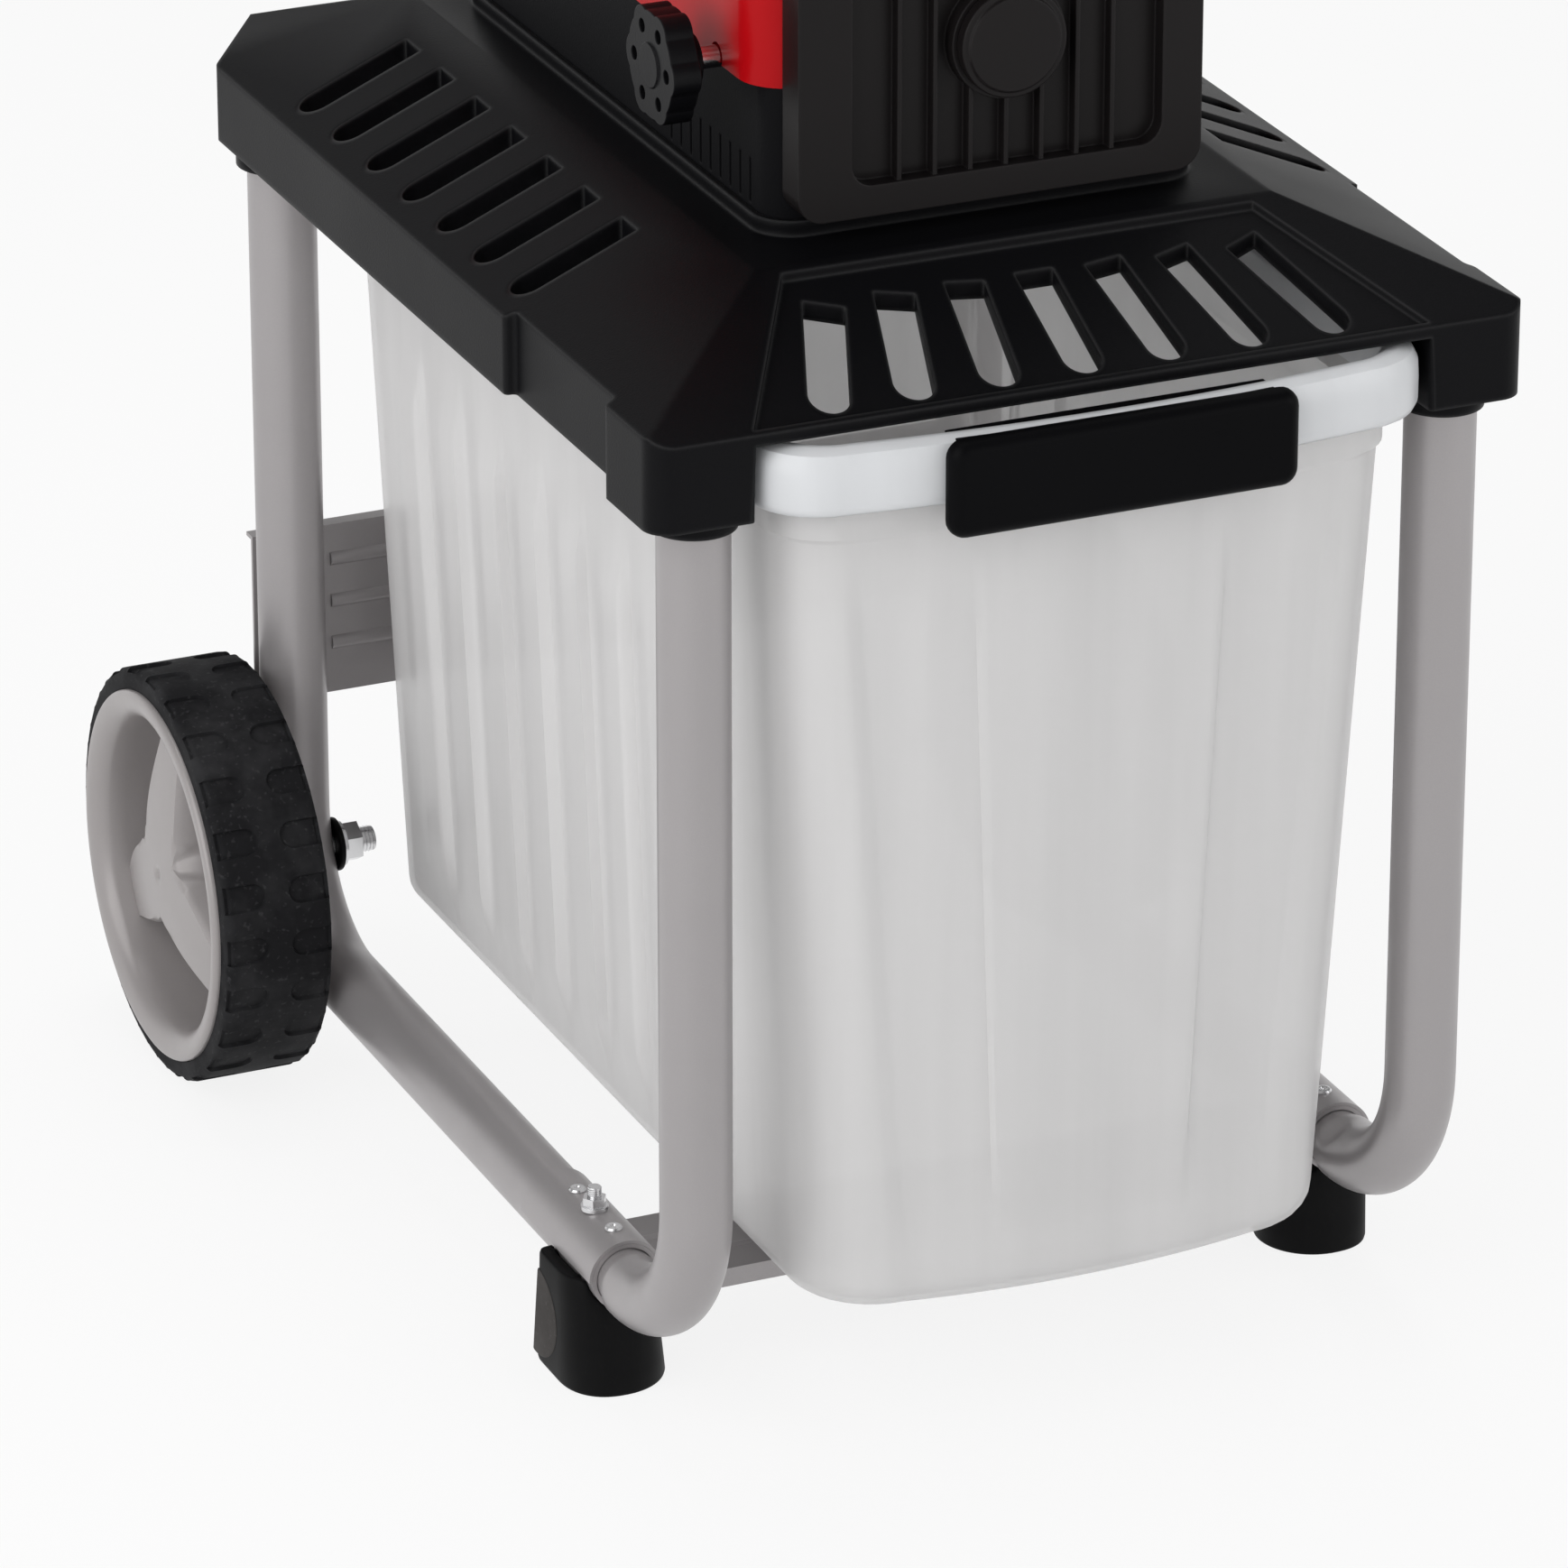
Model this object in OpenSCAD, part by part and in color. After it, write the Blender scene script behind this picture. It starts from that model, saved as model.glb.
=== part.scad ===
// Garden shredder on a wheeled tube frame with a slide-out collection box.
// Millimetres, +Z up, standing on Z = 0, front of the machine towards -Y.
// Sizes along Y below are counted from the axis of the front legs.

/* [Frame] */
// Outside diameter of the leg tubes
tube_d = 32; // [30:1:34]
// Wall of the leg tubes
tube_wall = 2; // [1.5:0.5:3]
// Distance between left and right leg axes
leg_span = 352; // [346:1:370]
// Distance between front and rear leg axes
leg_base = 487; // [480:1:510]
// Height of the side tube axis above the ground
side_tube_z = 58; // [56:1:62]
// Bend radius of the front legs, on the tube axis
front_bend_r = 70; // [64:1:74]
// Bend radius of the rear legs, on the tube axis
rear_bend_r = 65; // [60:1:75]
// How far the front leg reaches into the side tube
spigot_len = 60; // [52:1:75]
// Length of the half shell over each tube joint
sleeve_len = 80; // [70:1:90]
// Thickness of that half shell
sleeve_t = 1.5; // [1:0.5:2]

/* [Feet and rails] */
// Diameter of a foot at the ground
foot_d = 53; // [50:1:58]
// Place of the foot bolt behind the front leg axis
foot_bolt_y = 116; // [112:1:122]
// Foot bolt diameter
foot_bolt_d = 6; // [6:1:8]
// Width of the front cross rail along Y
rail_w = 64; // [50:1:70]
// Sheet thickness of rail and rear plate
sheet_t = 2; // [1.5:0.5:3]
// Height of the rear cross plate
plate_h = 86; // [60:1:100]
// Lower edge of the rear cross plate
plate_z = 170; // [140:1:200]

/* [Wheels] */
// Diameter of the wheels over the tyre
wheel_d = 200; // [192:1:204]
// Tyre width
tyre_w = 53; // [46:1:54]
// Tyre thickness on the rim
tyre_t = 10; // [8:1:12]
// Axle bolt diameter
axle_d = 12; // [10:1:14]
// Gap between a wheel and the leg beside it
wheel_gap = 5; // [4:1:8]

/* [Base plate] */
// Overhang of the plate beside the leg axes
deck_side = 29; // [27:1:34]
// Overhang of the plate in front of the front legs
deck_front = 25; // [23:1:30]
// Overhang of the plate behind the rear legs
deck_rear = 68; // [60:1:80]
// Height of the upper edge of the skirt
eave_z = 497; // [490:1:520]
// Height of the skirt
skirt_h = 36; // [32:1:40]
// Rise of the sloping panels from skirt to ridge
ridge_rise = 36; // [30:1:40]
// Ridge distance from the side edge of the plate
slope_side = 83; // [78:1:88]
// Ridge distance from the front edge of the plate
slope_front = 85; // [82:1:92]
// Ridge distance from the rear edge of the plate
slope_rear = 100; // [85:1:105]
// Wall of the plate
deck_wall = 3; // [2.5:0.5:4]
// Number of slots in each panel
slot_count = 7; // [5:1:7]
// Slot width
slot_w = 18; // [14:1:20]
// Slot spacing along the side panels
slot_pitch = 42.4; // [40:0.2:44]

/* [Collection box] */
// Gap between the box rim and the leg tubes
box_gap = 6; // [5:1:12]
// Overhang of the rim beyond the box wall
rim_w = 11; // [10:1:13]
// Height of the rim
rim_h = 25; // [20:1:28]
// Height of the box floor above the ground
box_z = 70; // [64:1:80]
// Inward lean of each box side from rim to floor
box_taper = 16; // [10:1:20]
// Bulge of the box front
box_bulge = 8; // [5:1:12]
// Wall of the box
box_wall = 2.5; // [2:0.5:3]
// Length of the box handle
handle_w = 163; // [140:1:170]
// Height of the box handle
handle_h = 44; // [36:1:48]

/* [Machine] */
// Height of the cutting roller axis above the base plate
roller_rise = 81; // [80:1:84]
// Diameter of the cutting roller over the teeth
roller_d = 96; // [90:1:98]
// Length of the cutting roller
roller_len = 54; // [46:1:54]
// Number of roller teeth
roller_teeth = 8; // [6:1:10]
// Diameter of roller and motor shafts
shaft_d = 15; // [14:1:16]
// Width of the lower casing
casing_w = 200; // [196:1:204]
// Length of the machine body
body_len = 365; // [362:1:372]
// Height of the lower casing
casing_h = 66; // [62:1:67]
// Height of the upper housing
housing_h = 171; // [167:1:183]
// How far the upper housing stands out over the casing
housing_out = 6; // [4:1:8]
// Depth of the front cover
cover_depth = 17; // [15:1:20]
// Width of the front cover
cover_w = 190; // [180:1:192]
// Diameter of the plain cap on the front cover
cap_d = 49; // [40:1:52]
// Height of the hopper above the upper housing
hopper_h = 200; // [160:1:220]
// Width of the hopper mouth
hopper_w = 270; // [230:1:290]

/* [Gears and motor] */
// Tooth module of the gear train
gear_module = 2; // [1.9:0.05:2]
// Motor stator diameter
stator_d = 126; // [118:1:128]
// Motor stack length
stack_len = 84; // [70:1:88]

/* [Controls] */
// Adjusting knob diameter over the lobes
knob_d = 53; // [48:1:56]
// Adjusting screw diameter
screw_d = 10; // [8:1:11]
// Travel of the push buttons
button_travel = 4; // [3:0.5:4]
// Push button diameter
button_d = 22; // [18:1:24]

/* [Clearances] */
// Radial running clearance of shafts
run_gap = 0.05; // [0.03:0.01:0.08]
// Gap between fixed pieces that sit in each other
seat_gap = 0.1; // [0.05:0.05:0.2]
// Gap between a moving piece and its seat
slide_gap = 0.3; // [0.3:0.1:0.5]

/* [Hidden] */
$fn = 48;
tube_r = tube_d / 2;
leg_x = leg_span / 2;
wheel_r = wheel_d / 2;
axle_z = wheel_r;
axle_drop = axle_z - side_tube_z;
axle_y = leg_base - rear_bend_r + sqrt(pow(rear_bend_r, 2) - pow(rear_bend_r - axle_drop, 2));
neck_len = 8;
neck_gap = 2;
joint_y = front_bend_r + neck_len + neck_gap;
spigot_r = tube_r - tube_wall - seat_gap;
rivet_d = 4;
rivet_head_h = 1.6;
sleeve_top = side_tube_z + tube_r + seat_gap + sleeve_t;
rivet_ys = [joint_y + 14, joint_y + sleeve_len - 24];

foot_y = foot_bolt_y - 12;
foot_taper = 8;
foot_seat_z = side_tube_z - tube_r;
foot_flat = 24;
foot_top = side_tube_z - 2;
bolt_out = 11;
bolt_head_z = foot_seat_z - 20;
foot_nut_h = 6;
nut_ratio = 1.85;
nut_flange_t = 2;
nut_flange_ratio = 2.1;
rail_y0 = foot_bolt_y - rail_w / 2;
rail_z = side_tube_z - 8;
rail_flange = 9;
plate_y = leg_base + tube_r + seat_gap;
plate_half = leg_x + 13;
plate_screw_d = 5;
plate_flange = 8;
bead_d = 8;
bead_in = 2;
bead_start = 26;
bead_reach = 70;

wheel_x = leg_x + tube_r + wheel_gap;
rim_r = wheel_r - tyre_t;
hub_r = 16;
barrel_t = 7;
rim_lip = 3;
rim_out = 3;
disc_t = 5;
spoke_back = 10;
open_r0 = hub_r + 18;
open_r1 = rim_r - 18;
open_turn = 38;
axle_end_x = leg_x - 37;
axle_head_t = 6;
hub_cap_t = 3;
axle_head_x = wheel_x + tyre_w - 2 * axle_head_t;
washer_d = 26;
washer_t = 3;
nut_h = 10;
nut_d = 20;

deck_x = leg_x + deck_side;
deck_y0 = -deck_front;
deck_y1 = leg_base + deck_rear;
deck_top = eave_z + ridge_rise;
skirt_z = eave_z - skirt_h;
ridge_x = deck_x - slope_side;
ridge_y0 = deck_y0 + slope_front;
ridge_y1 = deck_y1 - slope_rear;
rear_chamfer = deck_rear - 6;
deck_corner = 12;
lip_h = 8;
lip_z = eave_z - lip_h;
front_drop = 3;
recess_t = 4;
recess_in = 11;
recess_y1 = ridge_y0 - 4;
slot_deep = 12;
slot_rim = 2;
jog_in = 5;
jog_y = 138;
corner_z = skirt_z - 6;
corner_y = 27;
socket_wall = 5;
socket_z = corner_z - 7;
leg_top = eave_z - 9;
slot_x0 = deck_x - 65;
slot_x1 = deck_x - 10;
slot_y0 = jog_y + 16;
fan_y = [deck_y0 + deck_wall + slot_w / 2 + 6, ridge_y0 - 27];
fan_pitch = [39, 33.8];
collar_h = 7;
collar_wall = 3;

rim_x = leg_x - tube_r - box_gap;
rim_top = lip_z - 5;
rim_z = rim_top - rim_h;
box_x = rim_x - rim_w;
box_y0 = deck_y0 - 2;
box_y1 = leg_base - 4;
corner_in = rim_x + 4;
ledge_x = box_x + 3;
ledge_z = rim_z - slide_gap;
ledge_t = 7;
box_corner = 30;
floor_corner = 42;
floor_round = 16;
floor_rise = 14;
front_taper = 4;
slice_t = 0.5;
handle_t = 9;
handle_corner = 8;
handle_y1 = box_y0 - rim_w - box_bulge - slide_gap;
handle_y0 = handle_y1 - handle_t;
handle_z1 = rim_top + 4;
hook_len = 16;

body_back = 15;
body_y0 = ridge_y0 + body_back;
cover_y1 = body_y0 + cover_depth;
body_y1 = body_y0 + body_len;
casing_x = casing_w / 2;
casing_y0 = cover_y1 + seat_gap;
casing_wall = 3;
casing_corner = 16;
housing_corner = 22;
vent_y = 22;
vent_pitch = 10.8;
vent_w = 2;
vent_z = 6;
vent_h = 20;
split_z = deck_top + casing_h;
housing_x = casing_x + housing_out;
housing_top = split_z + housing_h;
housing_y1 = body_y1 + housing_out;
crown = 24;
floor_z = deck_top + seat_gap + casing_wall;
cover_z0 = deck_top + 10;
cover_rise = 103;
cover_z1 = split_z + cover_rise;
cover_frame = 22;
cover_corner = 12;
cover_ribs = 7;
cover_rib_pitch = 16.7;
cover_rib_t = 2;
cover_rib_in = 2;
cover_floor = 8;
cover_recess_r = 10;
cover_mid = 3;
cover_foot = 14;
cap_t = 6;
cap_step = 1.5;
cap_bevel = 6;
cover_screw_d = 5;
head_seat = 4;
screw_grip = 10;
screw_in = 9;

roller_z = deck_top + roller_rise;
bearing_d = 35;
bearing_w = 11;
plate_t = bearing_w;
chamber_y0 = casing_y0 + casing_wall + seat_gap;
chamber_in0 = chamber_y0 + plate_t;
roller_y0 = chamber_in0 + 4;
roller_y1 = roller_y0 + roller_len;
chamber_in1 = roller_y1 + 4;
chamber_y1 = chamber_in1 + plate_t;
roller_mid = (roller_y0 + roller_y1) / 2;
chamber_x = 78;
chamber_wall = 8;
chamber_top = roller_z + 72;
roller_root = roller_d / 2 - 13;

counter_t = 10;
counter_gap = 0.8;
counter_x = -(roller_d / 2 + counter_gap);
counter_h = 60;
adjust_z = roller_z - 12;
bush_d = screw_d + 10;
bush_x0 = -(chamber_x + 6);
knob_gap = 11;
knob_t = 20;
knob_scallop = 2.5;
knob_x1 = -(housing_x + knob_gap);
knob_x0 = knob_x1 - knob_t;
knob_lobes = 6;

pinion_teeth = 10;
gear_teeth = 40;
gear_t = 12;
gear_gap = 4;
gear_dist = gear_module * (pinion_teeth + gear_teeth) / 2;
tooth_add = 0.8 * gear_module;
tooth_ded = 1.05 * gear_module;
tooth_angle = 25;
tooth_slack = 0.08;
gear_y = [for (i = [0:2]) chamber_y1 + 7 + i * (gear_t + gear_gap)];
idler_dx = gear_dist / 2;
idler_dz = gear_dist * sqrt(3) / 2;
idler_d = 12;
gearbox_x = 76;
gearbox_wall = 5;
gearbox_z0 = roller_z - gear_dist - 8;
gearbox_z1 = roller_z + idler_dz + gear_dist + 8;
gearbox_y1 = gear_y[2] + gear_t + 6;
flange_t = bearing_w;
motor_y0 = gearbox_y1 + flange_t;
shell_t = 4;
motor_r = stator_d / 2;
rotor_r = motor_r - 27;
winding_len = 16;
stack_y0 = motor_y0 + winding_len + 6;
stack_y1 = stack_y0 + stack_len;
motor_y1 = stack_y1 + winding_len + 6;
shield_t = bearing_w;
fan_y0 = motor_y1 + shield_t + 3;
fan_t = 14;
fan_r = 50;

throat_x = 54;
throat_wall = 3;
throat_y0 = chamber_in0 + 1;
throat_y1 = chamber_in1 - 1;
hopper_wall = 3;
hopper_top = housing_top + hopper_h;
hopper_front = 60;
hopper_rear = 105;
hopper_y0 = throat_y0 - hopper_front;
hopper_y1 = throat_y1 + hopper_rear;
hopper_rim = 10;
hopper_rim_h = 12;
hopper_corner = 26;
hopper_upright = 50;
hopper_foot = 12;
hopper_foot_t = 5;
flap_t = 2;
slit_w = 1.2;

panel_y0 = hopper_y1 + 6;
panel_back = 22;
panel_y1 = body_y1 - panel_back;
panel_x = 74;
panel_h = 16;
panel_wall = 3;
panel_corner = 10;
panel_top = housing_top + panel_h;
button_xs = [-44, -12];
button_y = (panel_y0 + panel_y1) / 2;
selector_x = 26;
selector_d = 30;
reset_x = 58;
reset_d = 12;
button_up = button_travel + 2;
button_stem = panel_h - panel_wall + 6;
inlet_rise = 39;
inlet_z = split_z + inlet_rise;
inlet_d = 46;
bar_d = 24;
bar_x = 70;
bar_rise = 113;
bar_z = split_z + bar_rise;
bar_out = 70;
bar_bend = 34;
bar_in = 30;
screw_head_d = 9;

mid_y = (handle_y0 + axle_y + wheel_r) / 2;

// Shared shapes

// Brings the middle of the footprint to the origin
module stand() translate([0, -mid_y, 0]) children();

// Extrudes a Y-Z outline along X
module extrude_x(x0, len) translate([x0, 0, 0]) rotate([90, 0, 90]) linear_extrude(len) children();

// Extrudes an X-Z outline along Y
module extrude_y(y0, len) translate([0, y0 + len, 0]) rotate([90, 0, 0]) linear_extrude(len) children();

module rod_x(x0, x1, y, z, d) translate([x0, y, z]) rotate([0, 90, 0]) cylinder(d = d, h = x1 - x0);

module rod_y(x, y0, y1, z, d) translate([x, y0, z]) rotate([-90, 0, 0]) cylinder(d = d, h = y1 - y0);

module rod_z(x, y, z0, z1, d) translate([x, y, z0]) cylinder(d = d, h = z1 - z0);

module box(x0, x1, y0, y1, z0, z1) translate([x0, y0, z0]) cube([x1 - x0, y1 - y0, z1 - z0]);

module round_rect(x0, x1, y0, y1, r) {
    translate([x0 + r, y0]) square([x1 - x0 - 2 * r, y1 - y0]);
    translate([x0, y0 + r]) square([x1 - x0, y1 - y0 - 2 * r]);
    for (x = [x0 + r, x1 - r], y = [y0 + r, y1 - r]) translate([x, y]) circle(r);
}

// A slot between two points, round at the first and square at the second
module slot_between(p, q, w) {
    step = q - p;
    translate(p) rotate(atan2(step[1], step[0])) {
        circle(d = w);
        translate([0, -w / 2]) square([norm(step) + w / 2, w]);
    }
}

module both_sides() {
    children();
    mirror([1, 0, 0]) children();
}

module left_side() mirror([1, 0, 0]) children();

// Base plate

module deck_form(inset, drop, z0) {
    hx = deck_x - inset;
    y0 = deck_y0 + inset;
    y1 = deck_y1 - inset;
    cut = rear_chamfer + inset * (sqrt(2) - 2);
    intersection() {
        extrude_y(y0, y1 - y0) polygon([[-hx, z0], [hx, z0], [hx, eave_z - drop],
            [ridge_x, deck_top - drop], [-ridge_x, deck_top - drop], [-hx, eave_z - drop]]);
        extrude_x(-hx, 2 * hx) polygon([[y0, z0], [y1, z0], [y1, eave_z - drop],
            [ridge_y1, deck_top - drop], [ridge_y0, deck_top - drop], [y0, eave_z - front_drop - drop]]);
        translate([0, 0, z0]) linear_extrude(deck_top - z0) intersection() {
            polygon([[-hx, y0], [hx, y0], [hx, y1 - cut], [hx - cut, y1], [cut - hx, y1], [-hx, y1 - cut]]);
            round_rect(-hx, hx, y0, y1 + deck_corner, deck_corner - inset);
        }
    }
}

module side_slots(grow) {
    for (i = [0:slot_count - 1]) {
        y = slot_y0 + i * slot_pitch;
        translate([slot_x0 - grow, y - slot_w / 2 - grow])
            square([slot_x1 - slot_x0 - slot_w / 2 + grow, slot_w + 2 * grow]);
        translate([slot_x1 - slot_w / 2, y]) circle(d = slot_w + 2 * grow);
    }
}

module front_slots(grow) {
    middle = (slot_count - 1) / 2;
    for (i = [-middle:middle])
        slot_between([fan_pitch[0] * i, fan_y[0]], [fan_pitch[1] * i, fan_y[1]], slot_w + 2 * grow);
}

module all_slots(grow) {
    front_slots(grow);
    both_sides() side_slots(grow);
}

module recess_plan(grow) {
    half = [corner_in + grow, ridge_x - recess_in + grow];
    y = [deck_y0 + deck_wall - grow, recess_y1 + grow];
    polygon([[-half[0], y[0]], [half[0], y[0]], [half[1], y[1]], [-half[1], y[1]]]);
}

// The part of the base plate under a plan, down to a depth below its surface
module deck_layer(depth) {
    intersection() {
        difference() {
            deck_form(0, 0, skirt_z);
            deck_form(deck_wall, depth, skirt_z - 1);
        }
        translate([0, 0, lip_z]) linear_extrude(deck_top - lip_z) children();
    }
}

module front_recess() difference() {
    translate([0, 0, lip_z]) linear_extrude(deck_top) recess_plan(0);
    deck_form(-1, recess_t, skirt_z - 1);
}

module guide_rail() {
    intersection() {
        deck_form(1, 1, ledge_z - ledge_t);
        union() {
            box(corner_in, corner_in + deck_wall, corner_y - 1, leg_base, ledge_z - ledge_t, deck_top);
            box(ledge_x, corner_in + 1, corner_y - 1, leg_base - 30, ledge_z - ledge_t, ledge_z);
        }
    }
}

// Skirt of the stretch behind the corner block, which stands further in
module jog_wall() intersection() {
    deck_form(0, 0, skirt_z);
    union() {
        box(deck_x - jog_in - deck_wall, deck_x - jog_in, corner_y - 1, jog_y + deck_wall, skirt_z, deck_top);
        box(deck_x - jog_in - deck_wall, deck_x, jog_y, jog_y + deck_wall, skirt_z, deck_top);
    }
}

module deck_collar() {
    translate([0, 0, deck_top - 1]) linear_extrude(collar_h + 1) difference() {
        body_outline(seat_gap + collar_wall);
        body_outline(seat_gap);
    }
}

module base_plate() {
    socket_d = tube_d + 2 * seat_gap;
    color("#1b1b1d") difference() {
        union() {
            difference() {
                deck_form(0, 0, skirt_z);
                deck_form(deck_wall, deck_wall, skirt_z - 1);
            }
            intersection() {
                deck_form(0, 0, corner_z);
                both_sides() box(corner_in, deck_x, deck_y0, corner_y, corner_z, deck_top);
            }
            both_sides() rod_z(leg_x, 0, socket_z, corner_z + 1, tube_d + 2 * socket_wall - 4);
            intersection() {
                deck_form(1, 1, socket_z);
                both_sides() rod_z(leg_x, leg_base, socket_z, deck_top, tube_d + 2 * socket_wall);
            }
            both_sides() guide_rail();
            deck_collar();
            deck_layer(slot_deep) all_slots(slot_rim);
            deck_layer(recess_t + deck_wall) recess_plan(deck_wall);
            both_sides() jog_wall();
        }
        both_sides() for (y = [0, leg_base]) rod_z(leg_x, y, socket_z - 1, leg_top + seat_gap, socket_d);
        translate([0, 0, eave_z - front_drop - slot_deep - 1]) linear_extrude(deck_top) all_slots(0);
        front_recess();
        box(-corner_in, corner_in, deck_y0 - 1, corner_y, corner_z - 1, lip_z);
        box(-throat_x, throat_x, throat_y0, throat_y1, skirt_z, deck_top + 1);
        both_sides() box(deck_x - jog_in, deck_x + 1, corner_y, jog_y, corner_z - 1, deck_top);
    }
}

// Tube frame

module tube_ring() difference() {
    circle(d = tube_d);
    circle(d = tube_d - 2 * tube_wall);
}

module side_bend(y, r, start) {
    translate([leg_x, y, side_tube_z + r]) rotate([90, 0, 90]) rotate([0, 0, start])
        rotate_extrude(angle = 90) translate([r, 0]) tube_ring();
}

module upright(y, z0) translate([leg_x, y, z0]) linear_extrude(leg_top - z0) tube_ring();

module rivet_holes() {
    for (y = rivet_ys) rod_z(leg_x, y, side_tube_z, side_tube_z + tube_d, rivet_d + 2 * seat_gap);
}

module foot_bolt_hole() rod_z(leg_x, foot_bolt_y, -1, side_tube_z + tube_d, foot_bolt_d + 2 * seat_gap);

module front_leg() {
    neck_y = front_bend_r + neck_len;
    color("#9c9a98") difference() {
        union() {
            upright(0, side_tube_z + front_bend_r);
            side_bend(front_bend_r, front_bend_r, 180);
            translate([leg_x, front_bend_r, side_tube_z]) rotate([-90, 0, 0])
                cylinder(r1 = tube_r, r2 = spigot_r, h = neck_len);
            rod_y(leg_x, neck_y, joint_y + spigot_len, side_tube_z, 2 * spigot_r);
        }
        rod_y(leg_x, front_bend_r, joint_y + spigot_len + 1, side_tube_z, 2 * (spigot_r - tube_wall));
        rivet_holes();
        foot_bolt_hole();
    }
}

module rear_leg() {
    color("#9c9a98") difference() {
        union() {
            upright(leg_base, side_tube_z + rear_bend_r);
            side_bend(leg_base - rear_bend_r, rear_bend_r, 270);
            extrude_y(joint_y, leg_base - rear_bend_r - joint_y) translate([leg_x, side_tube_z]) tube_ring();
        }
        rivet_holes();
        foot_bolt_hole();
        rod_x(leg_x - tube_d, leg_x + tube_d, axle_y, axle_z, axle_d + 2 * seat_gap);
        plate_screw_holes(leg_base, plate_y + 1);
    }
}

module joint_sleeves() {
    inner_r = tube_r + seat_gap;
    color("#918f8d") both_sides() difference() {
        extrude_y(joint_y, sleeve_len) translate([leg_x, side_tube_z]) difference() {
            circle(inner_r + sleeve_t);
            circle(inner_r);
            translate([-tube_d, -tube_d]) square([2 * tube_d, tube_d]);
        }
        rivet_holes();
        foot_bolt_hole();
    }
}

module sleeve_rivets() {
    top = sleeve_top;
    color("#c9c9c9") both_sides() for (y = rivet_ys) {
        rod_z(leg_x, y, side_tube_z + spigot_r - tube_wall, top + 0.5, rivet_d);
        translate([leg_x, y, top]) cylinder(d1 = 2 * rivet_d, d2 = 1.4 * rivet_d, h = rivet_head_h);
    }
}

module foot() {
    color("#18181a") difference() {
        union() {
            translate([leg_x, foot_y, 0]) cylinder(d1 = foot_d, d2 = foot_d - foot_taper, h = foot_top);
            extrude_x(leg_x, foot_flat) polygon([[foot_y, 0], [foot_y + foot_d / 2, 0],
                [foot_y + foot_d / 2 - foot_taper, foot_top], [foot_y, foot_top]]);
        }
        rod_y(leg_x, foot_y - foot_d, foot_y + foot_d, side_tube_z, tube_d + 2 * seat_gap);
        box(leg_x + foot_flat, leg_x + foot_d, 0, 2 * foot_y, -1, side_tube_z);
        box(0, leg_x - 8, 0, 2 * foot_y, rail_z - rail_flange - slide_gap, side_tube_z);
        rod_z(leg_x, foot_bolt_y, -1, side_tube_z, foot_bolt_d + 2 * seat_gap);
        rod_z(leg_x, foot_bolt_y, -1, bolt_head_z, 2.2 * foot_bolt_d);
    }
}

module foot_bolts() {
    color("#c4c5c7") both_sides() {
        rod_z(leg_x, foot_bolt_y, bolt_head_z - 1, sleeve_top + bolt_out, foot_bolt_d);
        translate([leg_x, foot_bolt_y, bolt_head_z - foot_nut_h])
            cylinder(d = nut_ratio * foot_bolt_d, h = foot_nut_h, $fn = 6);
    }
}

module foot_nuts() {
    color("#c4c5c7") both_sides() difference() {
        union() {
            rod_z(leg_x, foot_bolt_y, sleeve_top, sleeve_top + nut_flange_t, nut_flange_ratio * foot_bolt_d);
            translate([leg_x, foot_bolt_y, sleeve_top])
                cylinder(d = nut_ratio * foot_bolt_d, h = foot_nut_h, $fn = 6);
        }
        rod_z(leg_x, foot_bolt_y, sleeve_top - 1, sleeve_top + foot_nut_h + 1, foot_bolt_d + 2 * run_gap);
    }
}

module front_cross_rail() {
    y1 = rail_y0 + rail_w;
    color("#a3a2a1") difference() {
        extrude_x(-leg_x, leg_span) {
            translate([rail_y0, rail_z - sheet_t]) square([rail_w, sheet_t]);
            for (y = [rail_y0, y1 - sheet_t])
                translate([y, rail_z - rail_flange]) square([sheet_t, rail_flange]);
            for (y = [rail_y0 + rail_w / 3, y1 - rail_w / 3]) translate([y, rail_z - sheet_t]) circle(3);
        }
        both_sides() rod_y(leg_x, 0, y1 + 1, side_tube_z, tube_d + 2 * seat_gap);
        both_sides() box(leg_x - tube_r * 0.7, leg_x + 1, 0, y1 + 1, 0, side_tube_z);
    }
}

module plate_screw_holes(y0, y1) {
    for (z = [plate_z + 18, plate_z + plate_h - 18]) rod_y(leg_x, y0, y1, z, plate_screw_d + 2 * seat_gap);
}

// Beads pressed into the rear plate, shorter by a distance at both ends
module plate_beads(d, short) {
    both_sides() for (i = [1:3])
        rod_x(leg_x - bead_reach + short, leg_x - bead_start - short, plate_y + bead_in,
            plate_z + i * plate_h / 4 + bead_d / 2, d);
}

module rear_cross_plate() {
    color("#a9a8a7") difference() {
        union() {
            box(-plate_half, plate_half, plate_y, plate_y + sheet_t, plate_z, plate_z + plate_h);
            for (z = [plate_z, plate_z + plate_h - sheet_t])
                box(-plate_half, plate_half, plate_y, plate_y + plate_flange, z, z + sheet_t);
            intersection() {
                plate_beads(bead_d, 0);
                box(-plate_half, plate_half, plate_y - bead_d, plate_y + sheet_t, plate_z, plate_z + plate_h);
            }
        }
        plate_beads(bead_d - 2 * sheet_t, sheet_t);
        both_sides() plate_screw_holes(plate_y - 1, plate_y + plate_flange);
    }
}

module plate_screws() {
    seat = plate_y + sheet_t;
    color("#c4c5c7") both_sides() for (z = [plate_z + 18, plate_z + plate_h - 18]) {
        rod_y(leg_x, leg_base + tube_r - tube_wall - 3, seat + 1, z, plate_screw_d);
        rod_y(leg_x, seat, seat + 3, z, 2 * plate_screw_d);
    }
}

// Wheels

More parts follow.
